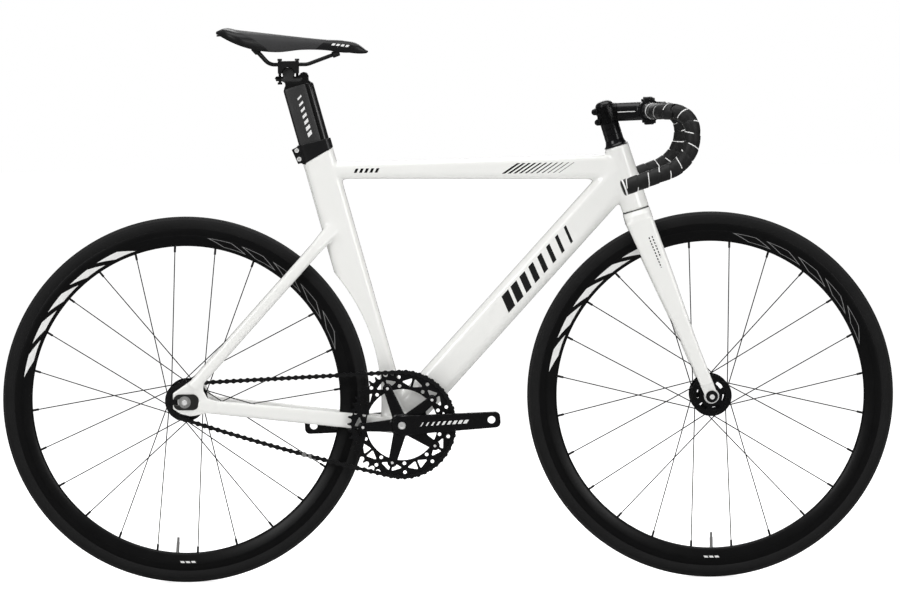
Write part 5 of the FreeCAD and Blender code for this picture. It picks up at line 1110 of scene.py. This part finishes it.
stemShape = {
    "voxel": 0.0009, "relaxing": (5, 2), "fillRounds": 70, "fillFrom": 0.000004, "crispFrom": 45,
    "smallCrisp": 30, "sides": 64, "clampLow": 0.167, "clampTop": 0.2005, "clampRadius": 0.018,
    "stemAt": (0.2963, 0, 0.8623), "body": (0.034, 0.030, 0.013), "sleeveRadius": 0.0209, "sleeveHalf": 0.021,
    "lugRise": 0.0194, "lugHalf": 0.0062, "lugBack": 0.010, "lugFront": 0.0062, "lugCorner": 0.0036,
    "gap": 0.0006, "barBore": 0.0159, "barBoreHalf": 0.05, "steererBore": 0.0143,
    "steererBoreSpan": (0.15, 0.22), "stackRoom": 0.0175, "stackRoomLow": 0.12,
    "boltHalf": 0.013, "shankLength": 0.020, "earBehind": 0.0202,
    "earRise": 0.010, "earRadius": 0.0058, "earHalf": 0.009, "earCorner": 0.003, "earRoot": 0.006,
    "splitReach": 0.06, "splitCorner": 0.01,
    "cover": ((0.0143, 0.1223), (0.0222, 0.1223), (0.0226, 0.1228), (0.0226, 0.1236), (0.0206, 0.1250),
              (0.0190, 0.1272), (0.0179, 0.1302), (0.0173, 0.1336), (0.0171, 0.1340), (0.0143, 0.1340)),
    "spacerRadius": 0.017, "spacerStarts": (0.1341, 0.1451, 0.1561), "spacerHeight": 0.0109,
    "spacerEdge": 0.0005,
    "cap": ((0.0, 0.2066), (0.0032, 0.2066), (0.0036, 0.2094), (0.0075, 0.2090), (0.0115, 0.2076),
            (0.0145, 0.2052), (0.0162, 0.2024), (0.0167, 0.2008), (0.0125, 0.2008), (0.0125, 0.1997),
            (0.0, 0.1997)),
    "stripe": dict(start=0.019, length=0.034, height=0.0015, cells=1.0, fill=1.0), "stripeAside": 0.010,
}
stemAt = Vector(stemShape["stemAt"])
stemWay = (barAt - stemAt).normalized()
stemOver = squareTo(stemWay)


def stemParts():
    s = stemShape
    parts = [rodBetween("stemClamp", steerPoint(s["clampLow"]), steerPoint(s["clampTop"]), s["clampRadius"],
                        sides=s["sides"]),
             loftTube("stemBody", [(place, stemOver, *s["body"]) for place in (stemAt, barAt)]),
             crossRod("stemSleeve", barAt, s["sleeveHalf"], s["sleeveRadius"], s["sides"])]
    bolts = []
    for sign in (-1, 1):
        lug = barAt + stemOver * (sign * s["lugRise"])
        lugSize = (2 * s["lugHalf"], 2 * s["sleeveHalf"], s["lugCorner"])
        parts.append(loftTube("stemLug", [(lug + stemWay * place, stemOver, *lugSize)
                                          for place in (-s["lugBack"], s["lugFront"])]))
        middle = (s["clampLow"] + s["clampTop"]) / 2 + sign * s["earRise"]
        ear = steerPoint(middle, -s["earBehind"])
        root = steerPoint(middle, -s["clampRadius"] + s["earRoot"])
        parts.append(crossRod("stemEar", ear, s["earHalf"], s["earRadius"]))
        earSize = (2 * s["earRadius"], 2 * s["earHalf"], s["earCorner"])
        parts.append(loftTube("stemEarRoot", [(place, steerUp, *earSize) for place in (ear, root)]))
        bolts.append(socketBolt("earBolt", ear - across * s["earHalf"], across, 2 * s["earHalf"]))
        for side in (-1, 1):
            seat = lug + stemWay * s["lugFront"] + across * (side * s["boltHalf"])
            bolts.append(socketBolt("faceBolt", seat, -stemWay, s["shankLength"]))
    return parts, bolts


def buildStack():
    s = stemShape
    pieces = [lathe("headsetCover", s["cover"] + s["cover"][:1], crown, steerUp, s["sides"])]
    bore, radius, edge = s["steererBore"], s["spacerRadius"], s["spacerEdge"]
    for start in s["spacerStarts"]:
        top = start + s["spacerHeight"]
        loop = ((bore, start), (radius - edge, start), (radius, start + edge), (radius, top - edge),
                (radius - edge, top), (bore, top), (bore, start))
        pieces.append(lathe("headsetSpacer", loop, crown, steerUp, s["sides"]))
    stack = joined("headsetStack", pieces)
    finishPiece(stack, s["smallCrisp"], "fork", coats["blackGloss"], "black_alloy", "headset_spacers")
    cap = lathe("stemTopCap", s["cap"], crown, steerUp, s["sides"])
    finishPiece(cap, s["smallCrisp"], "fork", coats["blackGloss"], "black_alloy", "top_cap")


def buildStem():
    s = stemShape
    parts, bolts = stemParts()
    stem = melted(joined("stemForging", parts), s["voxel"], s["relaxing"], [(s["fillRounds"], s["fillFrom"])])
    carve(stem, [crossRod("barBore", barAt, s["barBoreHalf"], s["barBore"], s["sides"]),
                 rodBetween("steererBore", *(steerPoint(height) for height in s["steererBoreSpan"]),
                            s["steererBore"]),
                 rodBetween("stackRoom", steerPoint(s["stackRoomLow"]), steerPoint(s["clampLow"]),
                            s["stackRoom"])])
    plate = placed("stemFaceplate", stem.data.copy())
    reach = s["splitReach"]
    for thing, sign in ((stem, 1), (plate, -1)):
        near = barAt + stemWay * (sign * -s["gap"])
        far = near + stemWay * (sign * reach)
        carve(thing, [loftTube("plateSplit", [(place, stemOver, 2 * reach, 2 * reach, s["splitCorner"])
                                              for place in (near, far)])])
    stripe = stripAlong(s["stripe"], stemAt, stemWay, s["stripeAside"])
    coat = coatedMaterial("stemPrinted", finishes["stemBlack"], printed(printInk["white"], [stripe]))
    finishPiece(stem, s["crispFrom"], "fork", coat, "black_alloy", "stem")
    finishPiece(plate, s["crispFrom"], "fork", coats["stemBlack"], "black_alloy", "stem_faceplate")
    bolt = joined("stemScrews", bolts)
    finishPiece(bolt, boltShape["crispFrom"], "fork", coats["blackSteel"], "black_steel", "stem_bolts")
    print("stem done:", triangleCount(stem), "triangles")


buildStem()
buildStack()

# Seatpost and its clamp

postShape = {
    "middle": -0.0139, "voxel": 0.0009, "relaxing": (8, 3), "fillRounds": 60, "fillFrom": 0.000003,
    "crispFrom": 40, "neckHalf": 0.0112, "pivotRadius": 0.011, "pivotHalf": 0.015, "pivotKeepHalf": 0.04,
    "pivotSides": 64, "earHalf": 0.023, "earTop": 0.009, "earThickness": 0.005, "boltReach": 0.016,
    "shankRoom": 0.0043, "shankBelow": 0.001, "shankAbove": 0.004, "nutRoom": 0.0065,
    "nutRoomDepth": 0.0115, "roomSides": 32,
    "plateRoom": ((-0.022, -0.0003), (0.021, -0.0003), (0.021, 0.02), (-0.022, 0.02)), "plateRoomHalf": 0.03,
    "headAt": (-0.289, 0, 0.940),
    "section": ((0.0284, 0.0), (0.0280, 0.0040), (0.0264, 0.0076), (0.0238, 0.0102), (0.0207, 0.0119),
                (0.0180, 0.0127), (0.0168, 0.0124), (0.0158, 0.0112), (0.0146, 0.0112), (0.0136, 0.0128),
                (0.0120, 0.0138), (-0.0040, 0.0139), (-0.0200, 0.0138), (-0.0250, 0.0131), (-0.0274, 0.0113),
                (-0.0284, 0.0080), (-0.0284, 0.0)),
    "heights": ((0.405, 1.0), (0.52, 1.0), (0.6475, 1.0), (0.6500, 0.985), (0.6518, 0.95), (0.6526, 0.88)),
    "neck": ((0.640, 0.0235), (0.6520, 0.0250), (0.6575, 0.0212), (0.6640, 0.0240), (0.6705, 0.0225),
             (0.6738, 0.0170), (0.6733, 0.0115), (0.6695, 0.0070), (0.6690, -0.0106), (0.6770, -0.0270),
             (0.6795, -0.0330), (0.6770, -0.0372), (0.6715, -0.0350), (0.6680, -0.0265), (0.6640, -0.0215),
             (0.6600, -0.0210), (0.6540, -0.0260), (0.640, -0.0275)),
    "look": dict(colour=(0.030, 0.030, 0.030), shade=0.35, scale=40.0, grain=2600.0, roughness=0.44, drift=0.1,
                 bump=0.12, Specular_IOR_Level=0.45),
    "panel": (-0.0262, 0.0135), "panelAside": 0.0125, "edgeColour": (0.006, 0.006, 0.006, 1), "edgeGloss": 0.22,
    "panelGloss": 0.2, "printAt": (0.632, -0.0169),
    "print": dict(length=0.078, height=0.0085, cells=7.0, fill=0.3, taper=0.4, slant=-0.6, aside=0.0125),
}
postHead = Vector(postShape["headAt"])


def postMarks(tree, place, finish):
    # satin side panel between glossier edges, split by the pressed groove
    s = postShape
    spot = addNode(tree, "SeparateXYZ", {0: place}).outputs
    behind = -seatPoint(0, s["middle"]).dot(seatFront)
    along = mathNode(tree, "MULTIPLY_ADD", spot[0], seatFront.x,
                     mathNode(tree, "MULTIPLY_ADD", spot[2], seatFront.z, behind))
    flat = mathNode(tree, "GREATER_THAN", mathNode(tree, "ABSOLUTE", spot[1]), s["panelAside"])
    panel = allOf(tree, between(tree, along, *s["panel"]), flat)
    colour = blendColour(tree, panel, s["edgeColour"], finish["Colour"])
    strip = {**s["print"], "at": seatPoint(*s["printAt"]), "way": -seatUp, "over": seatFront}
    return {"Base Color": blendColour(tree, stripMask(tree, place, strip), colour, printInk["white"]),
            "Roughness": mathNode(tree, "MULTIPLY_ADD", panel, s["panelGloss"], s["edgeGloss"])}


def buildPost():
    s = postShape
    near = s["section"]
    loop = list(near) + [(forward, -aside) for forward, aside in reversed(near[1:-1])]
    post = loftLoops("seatpostBlade", [
        [seatPoint(height, s["middle"] + forward * scale, aside * scale) for forward, aside in loop]
        for height, scale in s["heights"]])
    outline = [seatPoint(height, s["middle"] + forward) for height, forward in s["neck"]]
    earLow = postHead - upright * (s["earTop"] + s["earThickness"])
    ears = [earLow + ahead * (sign * s["earHalf"]) + upright * rise for sign, rise in
            ((-1, 0), (-1, s["earThickness"]), (1, s["earThickness"]), (1, 0))]
    parts = [sidePlate("postNeck", outline, -s["neckHalf"], s["neckHalf"]),
             crossRod("postPivot", postHead, s["pivotHalf"], s["pivotRadius"]),
             sidePlate("postEars", ears, -s["pivotHalf"], s["pivotHalf"])]
    head = melted(joined("postHead", parts), s["voxel"], s["relaxing"], [(s["fillRounds"], s["fillFrom"])])
    modified(post, "BOOLEAN", object=head, operation="UNION", solver="EXACT")
    bpy.data.objects.remove(head)
    cutters = []
    for sign in (-1, 1):
        at = postHead + ahead * (sign * s["boltReach"])
        seat = at - upright * (s["earTop"] + s["earThickness"])
        cutters.append(rodBetween("shankRoom", seat - upright * s["shankBelow"], at + upright * s["shankAbove"],
                                  s["shankRoom"], sides=s["roomSides"]))
        cutters.append(rodBetween("nutRoom", seat - upright * s["nutRoomDepth"], seat, s["nutRoom"],
                                  sides=s["roomSides"]))
    cradle = [postHead + ahead * x + upright * z for x, z in s["plateRoom"]]
    room = sidePlate("plateRoom", cradle, -s["plateRoomHalf"], s["plateRoomHalf"])
    carve(room, [crossRod("pivotKeep", postHead, s["pivotKeepHalf"], s["pivotRadius"], s["pivotSides"])])
    carve(post, cutters + [room])
    coat = coatedMaterial("postBlack", s["look"], postMarks)
    finishPiece(post, s["crispFrom"], "seatpost", coat, "black_alloy", "seatpost")
    print("seatpost done:", triangleCount(post), "triangles")


clampShape = {
    "voxel": 0.0009, "relaxing": (6, 2), "fillRounds": 30, "fillFrom": 0.000003, "crispFrom": 45, "low": 0.513,
    "high": 0.546, "boltBehind": -0.0139 - 0.0305 - 0.013 / 3, "boltHalf": 0.0085, "cradleVoxel": 0.0008,
    "cradleRelaxing": (5, 0),
}


def buildSeatClamp():
    s = clampShape
    clamp = melted(solidCopy("seatClampWedge", "seat_clamp"), s["voxel"], s["relaxing"],
                   [(s["fillRounds"], s["fillFrom"])])
    finishPiece(clamp, s["crispFrom"], "frame", coats["blackSatin"], "black_alloy", "seat_clamp")
    bolts = []
    for sign in (-1, 1):
        at = seatPoint((s["low"] + s["high"]) / 2 + sign * (s["high"] - s["low"]) / 4, s["boltBehind"])
        bolts.append(socketBolt("clampBolt", at - across * s["boltHalf"], across, 2 * s["boltHalf"]))
    bolt = joined("seatClampScrews", bolts)
    finishPiece(bolt, boltShape["crispFrom"], "frame", coats["brightSteel"], "black_steel", "seat_clamp_bolts")
    cradle = melted(solidCopy("saddleCradle", "saddle_clamp"), s["cradleVoxel"], s["cradleRelaxing"])
    finishPiece(cradle, s["crispFrom"], "saddle", coats["blackSatin"], "black_alloy", "saddle_clamp")


buildPost()
buildSeatClamp()

# Saddle

saddleShape = {
    "places": (-0.4185, -0.4050, -0.3850, -0.3500, -0.3100, -0.2650, -0.2200, -0.1850, -0.1600, -0.1445),
    "tops": (1.0195, 1.0253, 1.0222, 1.0180, 1.0130, 1.0072, 1.0023, 1.0000, 0.9935, 0.9815),
    "skirts": (1.0125, 1.0045, 0.9945, 0.9830, 0.9785, 0.9825, 0.9815, 0.9765, 0.9770, 0.9765),
    "halves": (0.0400, 0.0580, 0.0668, 0.0560, 0.0375, 0.0262, 0.0210, 0.0182, 0.0148, 0.0080),
    "shellPlaces": (-0.4195, -0.3892, -0.3038, -0.2542, -0.1826, -0.1440),
    "shellLows": (1.0090, 1.0030, 0.9840, 0.9850, 0.9780, 0.9760), "shellRoom": 0.0046,
    "outline": ((0.945, 0.0), (0.985, 0.12), (1.0, 0.36), (0.985, 0.56), (0.91, 0.75), (0.76, 0.87),
                (0.54, 0.945), (0.30, 0.985), (0.12, 0.992), (0.0, 0.985)),
    "base": (0.0, 0.5, 0.86), "lip": 0.90, "lipRise": 0.0008, "leastSkirt": 0.001, "leastPad": 0.003,
    "rows": 72, "ends": ((0.0026, 0.55), (0.0018, 0.80), (0.0008, 0.94)), "channel": 0.0016, "channelHalf": 0.2,
    "fullChannelAt": 0.05, "merge": 0.000003, "fineMerge": 0.000001, "crispFrom": 60, "fill": 0.8,
    "boltRise": 0.0233, "boltLength": 0.0400, "nutDrop": 0.0164, "nutHeight": 0.004, "nutRadius": 0.0042,
    "nutSides": 32,
    "look": dict(colour=(0.036, 0.036, 0.037), shade=0.3, scale=45.0, grain=2000.0, roughness=0.62, drift=0.1,
                 bump=0.18, Specular_IOR_Level=0.3),
    "print": {"at": (-0.2080, 0, 0.9930), "way": (0.993, 0, -0.12), "over": (0.12, 0, 0.993), "length": 0.034,
              "height": 0.0040, "cells": 4.0, "fill": 0.66, "slant": 0.7, "aside": 0.004},
    "tailStart": 0.401, "tailSpan": 0.0775, "tailPower": 3.0, "tailBend": -0.0192, "tailTop": 1.0236,
    "tailSlope": -0.0234, "noseSlope": 1.18, "noseAt": (-0.2182, 1.0013),
    "panelColour": (0.0085, 0.0085, 0.009, 1), "panelGloss": -0.24, "weaveScale": 1100.0,
}


def saddleMarks(tree, place, finish):
    # matte centre with glossier tail sides and nose
    s = saddleShape
    spot = addNode(tree, "SeparateXYZ", {0: place}).outputs
    along, rising = spot[0], spot[2]
    share = mathNode(tree, "DIVIDE", mathNode(tree, "ADD", along, s["tailStart"]), s["tailSpan"])
    curve = mathNode(tree, "POWER", mathNode(tree, "MAXIMUM", share, 0.0), s["tailPower"])
    bend = mathNode(tree, "MULTIPLY_ADD", curve, s["tailBend"], s["tailTop"])
    tail = mathNode(tree, "LESS_THAN", rising, mathNode(tree, "MULTIPLY_ADD", share, s["tailSlope"], bend))
    noseStart = s["noseAt"][0] - s["noseAt"][1] * s["noseSlope"]
    noseEdge = mathNode(tree, "MULTIPLY_ADD", rising, s["noseSlope"], noseStart)
    panel = mathNode(tree, "MAXIMUM", tail, mathNode(tree, "GREATER_THAN", along, noseEdge))
    colour = blendColour(tree, panel, finish["Colour"], s["panelColour"])
    bars = stripMask(tree, place, s["print"])
    weave = addNode(tree, "TexVoronoi", {"Vector": place, "Scale": s["weaveScale"]}).outputs["Distance"]
    return {"Base Color": blendColour(tree, bars, colour, printInk["white"]),
            "Roughness": mathNode(tree, "MULTIPLY_ADD", panel, s["panelGloss"], finish["Roughness"]),
            "Relief": weave}


def saddleLoop(at):
    s = saddleShape
    top, skirt, half = (float(flowing(s["places"], s[key], np.array([at]))[0])
                        for key in ("tops", "skirts", "halves"))
    base = float(np.interp(at, s["shellPlaces"], s["shellLows"])) + s["shellRoom"]
    base = min(max(base, skirt + s["leastSkirt"]), top - s["leastPad"])
    dip = s["channel"] * min(1, half / s["fullChannelAt"])
    side = [(aside, base) for aside in s["base"]] + [(s["lip"], skirt + s["lipRise"])]
    side += [(aside, skirt + (top - skirt) * rise - (dip if aside < s["channelHalf"] else 0))
             for aside, rise in s["outline"]]
    points = [(aside * half, height) for aside, height in side]
    points += [(-aside * half, height) for aside, height in reversed(side[1:-1])]
    return [Vector((at, aside, height)) for aside, height in points]


def closingLoops(loop, way):
    # ever smaller loops beyond an end of the saddle
    centre = sum(loop, Vector()) / len(loop)
    return [[centre + (point - centre) * scale + ahead * (way * outward) for point in loop]
            for outward, scale in saddleShape["ends"]]


def buildSaddle():
    s = saddleShape
    loops = [saddleLoop(float(at)) for at in np.linspace(s["places"][0], s["places"][-1], s["rows"])]
    loops = closingLoops(loops[0], -1) + loops + closingLoops(loops[-1], 1)[::-1]
    pad = gridPiece("saddlePadCover", np.array([[list(point) for point in loop + loop[:1]] for loop in loops]))
    evenNormals(pad, s["merge"])
    editAll(pad)
    bpy.ops.mesh.select_all(action="DESELECT")
    bpy.ops.mesh.select_mode(type="EDGE")
    bpy.ops.mesh.select_non_manifold()
    bpy.ops.mesh.fill()
    bpy.ops.mesh.select_mode(type="VERT")
    backToObject()
    modified(pad, "SUBSURF", levels=1, render_levels=1)
    evenNormals(pad, s["fineMerge"])
    cover = coatedMaterial("saddleCover", s["look"], saddleMarks)
    finishPiece(pad, s["crispFrom"], "saddle", cover, "saddle_cover", "saddle_pad")
    bolts = []
    for sign in (-1, 1):
        at = postHead + ahead * (sign * postShape["boltReach"])
        bolts.append(socketBolt("cradleBolt", at + upright * s["boltRise"], -upright, s["boltLength"]))
        nut = at - upright * s["nutDrop"]
        bolts.append(rodBetween("cradleNut", nut, nut - upright * s["nutHeight"], s["nutRadius"],
                                sides=s["nutSides"]))
    bolt = evenNormals(joined("saddleCradleScrews", bolts), s["fineMerge"])
    finishPiece(bolt, boltShape["crispFrom"], "saddle", coats["blackGloss"], "black_steel",
                "saddle_clamp_bolts")
    print("saddle done:", triangleCount(pad), "triangles")


buildSaddle()

# Cranks

crankShape = {
    "voxel": 0.001, "relaxing": (8, 3), "fillRounds": 170, "fillFrom": 0.000004, "fillAside": 0.055,
    "fillReach": 0.062, "crispFrom": 45, "smallCrisp": 30, "turn": 3.1, "length": 0.165,
    "faces": (0.058, 0.071), "rootHalf": 0.0178, "rootSteps": 17, "tipHalf": 0.0145, "tipReach": 0.0165,
    "tipCorner": 0.0095, "tipSteps": 7, "bossInner": 0.0368, "bossRadius": 0.018, "bossSides": 64,
    "spiderArms": 5, "spiderFaces": (0.04545, 0.05345), "spiderRoot": 0.0128, "spiderTip": 0.0076,
    "boltCircle": 0.072, "boltRadius": 0.005, "boltOver": 0.005,
    "pedalRadius": 0.00715, "pedalHalf": 0.09, "webInset": 0.001,
    "web": ((-0.62, 0.050), (-0.25, 0.050), (0.0, 0.047), (0.25, 0.050), (0.62, 0.050)),
    "socketHalf": 0.00635, "socketInner": 0.03, "boltRoom": 0.0076, "boltRoomEnd": 0.08, "boltSeat": 0.065,
    "ringBolt": ((0.0, -0.05345), (0.0028, -0.05345), (0.0028, -0.0548), (0.0046, -0.0552), (0.0062, -0.0548),
                 (0.0064, -0.0540), (0.0064, -0.05345), (0.005, -0.05345), (0.005, -0.04255),
                 (0.0064, -0.04255), (0.0064, -0.0414), (0.0060, -0.0411), (0.0, -0.0411)), "ringBoltSides": 32,
    "ringDot": ((0.0, -0.0551), (0.0016, -0.0550), (0.0026, -0.0546), (0.0027, -0.0536), (0.0, -0.0536)),
    "ringDotSides": 24, "crankBoltSides": 40,
    "crankBolt": ((0.0, -0.0648), (0.0036, -0.0648), (0.0038, -0.0686), (0.0046, -0.0692), (0.0066, -0.0690),
                  (0.0073, -0.0682), (0.0073, -0.0630), (0.0, -0.0630)),
    "print": dict(start=0.036, length=0.088, height=0.0065, cells=9.0, fill=0.2, taper=0.55, slant=0.7),
    "printAside": 0.066,
}


def armOutline(way, over):
    s = crankShape
    points = [(s["rootHalf"] * math.cos(turn), s["rootHalf"] * math.sin(turn))
              for turn in np.linspace(math.pi / 2, 3 * math.pi / 2, s["rootSteps"])]
    centre = s["length"] + s["tipReach"] - s["tipCorner"]
    for sign, low, high in ((-1, -math.pi / 2, 0), (1, 0, math.pi / 2)):
        aside = sign * (s["tipHalf"] - s["tipCorner"])
        points += [(centre + s["tipCorner"] * math.cos(turn), aside + s["tipCorner"] * math.sin(turn))
                   for turn in np.linspace(low, high, s["tipSteps"])]
    return [bracket + way * along + over * aside for along, aside in points]


def spiderTips():
    s = crankShape
    step = fullTurn / s["spiderArms"]
    return [bracket + sideWay(math.radians(s["turn"]) + (index + 0.5) * step) * s["boltCircle"]
            for index in range(s["spiderArms"])]


def buildCrank(name, side, spider):
    s = crankShape
    lean = math.radians(s["turn"]) + (0 if side < 0 else math.pi)
    way = sideWay(lean)
    over = squareTo(way)
    parts = [sidePlate("crankArm", armOutline(way, over), *sorted(side * face for face in s["faces"])),
             rodBetween("crankBoss", bracket + across * (side * s["bossInner"]),
                        bracket + across * (side * s["faces"][1]), s["bossRadius"], sides=s["bossSides"])]
    cutters = []
    if spider:
        inner, outer = sorted(side * face for face in s["spiderFaces"])
        for tip in spiderTips():
            arm = capsuleOutline(bracket, s["spiderRoot"], tip, s["spiderTip"])
            parts.append(sidePlate("spiderArm", arm, inner, outer))
            cutters.append(rodBetween("ringBoltHole", tip + across * (inner - s["boltOver"]),
                                      tip + across * (outer + s["boltOver"]), s["boltRadius"]))
        web = [bracket] + [bracket + sideWay(lean + turn) * reach for turn, reach in s["web"]]
        parts.append(sidePlate("spiderWeb", web, inner + s["webInset"], outer - s["webInset"]))
    zones = [(bracket + across * (side * s["fillAside"]), s["fillReach"])]
    crank = melted(joined(name + "CrankForging", parts), s["voxel"], s["relaxing"],
                   [(s["fillRounds"], s["fillFrom"], zones)])
    half = s["socketHalf"]
    square = [bracket + way * along + over * aside
              for along, aside in ((half, half), (-half, half), (-half, -half), (half, -half))]
    cutters += [crossRod("pedalHole", bracket + way * s["length"], s["pedalHalf"], s["pedalRadius"]),
                rodBetween("boltRoom", bracket + across * (side * s["boltSeat"]),
                           bracket + across * (side * s["boltRoomEnd"]), s["boltRoom"]),
                sidePlate("squareSocket", square, *sorted((side * s["socketInner"], side * s["boltSeat"])))]
    carve(crank, cutters)
    strip = stripAlong(s["print"], bracket, way, s["printAside"])
    coat = coatedMaterial(name + "CrankPrinted", finishes["blackGloss"], printed(printInk["white"], [strip]))
    finishPiece(crank, s["crispFrom"], "crankset", coat, "black_alloy", "crank_arm_" + name)
    print("crank done:", name, triangleCount(crank), "triangles")


def buildCrankBolts():
    s = crankShape
    tips = spiderTips()
    head = joined("ringBoltHeads", [lathe("ringBoltHead", s["ringBolt"], tip, across, s["ringBoltSides"])
                                    for tip in tips])
    finishPiece(head, s["smallCrisp"], "crankset", coats["blackGloss"], "black_steel", "chainring_bolts")
    dot = joined("ringBoltFaces", [lathe("ringBoltDot", s["ringDot"], tip, across, s["ringDotSides"])
                                   for tip in tips])
    finishPiece(dot, s["smallCrisp"], "crankset", coats["brightSteel"], "bare_steel")
    screws = [lathe("crankScrew", s["crankBolt"], bracket, across * way, s["crankBoltSides"])
              for way in (1, -1)]
    bolt = joined("crankScrews", screws)
    finishPiece(bolt, s["smallCrisp"], "crankset", coats["brightSteel"], "bare_steel", "crank_bolts")


buildCrank("right", -1, True)
buildCrank("left", 1, False)
buildCrankBolts()

# Chain with its silver joining link

chainShape = {
    "pitch": 0.0127, "ringTeeth": 48, "cogTeeth": 16, "line": -0.044, "roundRadius": 0.0045, "roundTurn": 56,
    "waist": ((0.31, 0.0029), (0.5, 0.0026), (0.69, 0.0029)), "innerFaces": (0.0017, 0.0029),
    "outerFaces": (0.00302, 0.00422), "rollerRadius": 0.0039, "pinRadius": 0.0018, "pinEnd": 0.00472,
    "sides": 20, "arcPoints": 13, "searchRounds": 60, "flattest": 0.001, "crispFrom": 30,
    "joinAlong": -0.2624, "joinHalf": 0.0086, "joinBelow": 0.27, "joinFace": -0.04696,
    "joinMetal": (0.9, 0.9, 0.88, 1),
}


def linkMask(tree, place):
    s = chainShape
    spot = addNode(tree, "SeparateXYZ", {0: place}).outputs
    away = mathNode(tree, "ABSOLUTE", mathNode(tree, "SUBTRACT", spot[0], s["joinAlong"]))
    limits = ((away, "joinHalf"), (spot[2], "joinBelow"), (spot[1], "joinFace"))
    return allOf(tree, *(mathNode(tree, "LESS_THAN", value, s[key]) for value, key in limits))


def hangingPins(start, end, count):
    # equal links on a shallow arc between two pins
    s = chainShape
    span = end - start
    bent = math.pi / count
    flat = bent * s["flattest"]
    for _ in range(s["searchRounds"]):
        middle = (flat + bent) / 2
        if math.sin(count * middle) / math.sin(middle) > span.length / s["pitch"]:
            flat = middle
        else:
            bent = middle
    heading = math.atan2(span.z, span.x) - (count - 1) * flat
    pins = [start]
    for index in range(count - 1):
        pins.append(pins[-1] + sideWay(heading + 2 * flat * index) * s["pitch"])
    return pins[1:]


def chainPins():
    s = chainShape
    pitch = s["pitch"]
    ringRadius, cogRadius = (pitch / 2 / math.sin(math.pi / s[teeth]) for teeth in ("ringTeeth", "cogTeeth"))
    span = rearAxle - bracket
    heading = math.atan2(span.z, span.x)
    spread = math.acos((ringRadius - cogRadius) / span.length)
    ringStep = fullTurn / s["ringTeeth"]
    wrapped = int((fullTurn - 2 * spread) / ringStep) + 1
    ringPins = [bracket + sideWay(heading - spread - index * ringStep) * ringRadius
                for index in range(wrapped)]
    run = rearAxle + sideWay(heading - spread) * cogRadius - ringPins[0]
    upperPins = [ringPins[0] + run.normalized() * (pitch * (index + 1))
                 for index in range(int(run.length / pitch))]
    toLast = upperPins[-1] - rearAxle
    opening = math.acos((cogRadius ** 2 + toLast.length ** 2 - pitch ** 2) / (2 * cogRadius * toLast.length))
    turn = math.atan2(toLast.z, toLast.x) + opening
    cogPins = []
    while turn < heading + spread:
        cogPins.append(rearAxle + sideWay(turn) * cogRadius)
        turn += fullTurn / s["cogTeeth"]
    lowCount = math.ceil((ringPins[-1] - cogPins[-1]).length / pitch)
    lowCount += (len(ringPins) + len(upperPins) + len(cogPins) + lowCount - 1) % 2
    return upperPins + cogPins + hangingPins(cogPins[-1], ringPins[-1], lowCount) + ringPins[::-1]


def linkOutline(start, end):
    # a waisted plate round two pins: one half, and the same half turned about the middle
    s = chainShape
    way = (end - start).normalized()
    over = squareTo(way)
    turns = np.radians(np.linspace(s["roundTurn"], 360 - s["roundTurn"], s["arcPoints"]))
    half = [(s["roundRadius"] * math.cos(turn), s["roundRadius"] * math.sin(turn)) for turn in turns]
    half += [(s["pitch"] * share, -height) for share, height in s["waist"]]
    outline = [start + way * along + over * rise for along, rise in half]
    return outline + [end - way * along - over * rise for along, rise in half]


def buildChain():
    s = chainShape
    pins = chainPins()
    parts = []
    for index, start in enumerate(pins):
        outline = linkOutline(start, pins[(index + 1) % len(pins)])
        faces = s["outerFaces"] if index % 2 else s["innerFaces"]
        middle = start + across * s["line"]
        parts.append(crossRod("linkRoller", middle, s["innerFaces"][0], s["rollerRadius"], s["sides"]))
        for side in (-1, 1):
            parts.append(sidePlate("linkPlate", outline, *sorted(s["line"] + side * face for face in faces)))
            parts.append(rodBetween("linkPin", middle + across * (side * s["outerFaces"][1]),
                                    middle + across * (side * s["pinEnd"]), s["pinRadius"], sides=s["sides"]))
    chain = joined("driveChain", parts)
    steel = coatedMaterial("chainSteel", finishes["blackSteel"], metalWhere(linkMask, s["joinMetal"]))
    finishPiece(chain, s["crispFrom"], "frame", steel, "black_steel", "chain_inner_links", "chain_outer_links")
    print("chain done:", len(pins), "links,", triangleCount(chain), "triangles")


buildChain()

# Bare valve stems on the inner tubes

valve = {
    "look": {**finishes["tubeRubber"], "scale": 60.0, "grain": 1800.0, "bump": 0.1, "Specular_IOR_Level": 0.4},
    "metal": (0.55, 0.55, 0.54, 1), "within": 0.3,
}


def valveMask(axle):
    def mask(tree, place):
        return mathNode(tree, "LESS_THAN", wheelPlace(tree, place, axle)["Reach"], valve["within"])
    return mask


for wheelName, wheelAxle in wheels.items():
    stemMetal = metalWhere(valveMask(wheelAxle), valve["metal"])
    repaint(nodes[wheelName + "_inner_tube"], coatedMaterial(wheelName + "Valve", valve["look"], stemMetal))
print("valves set")
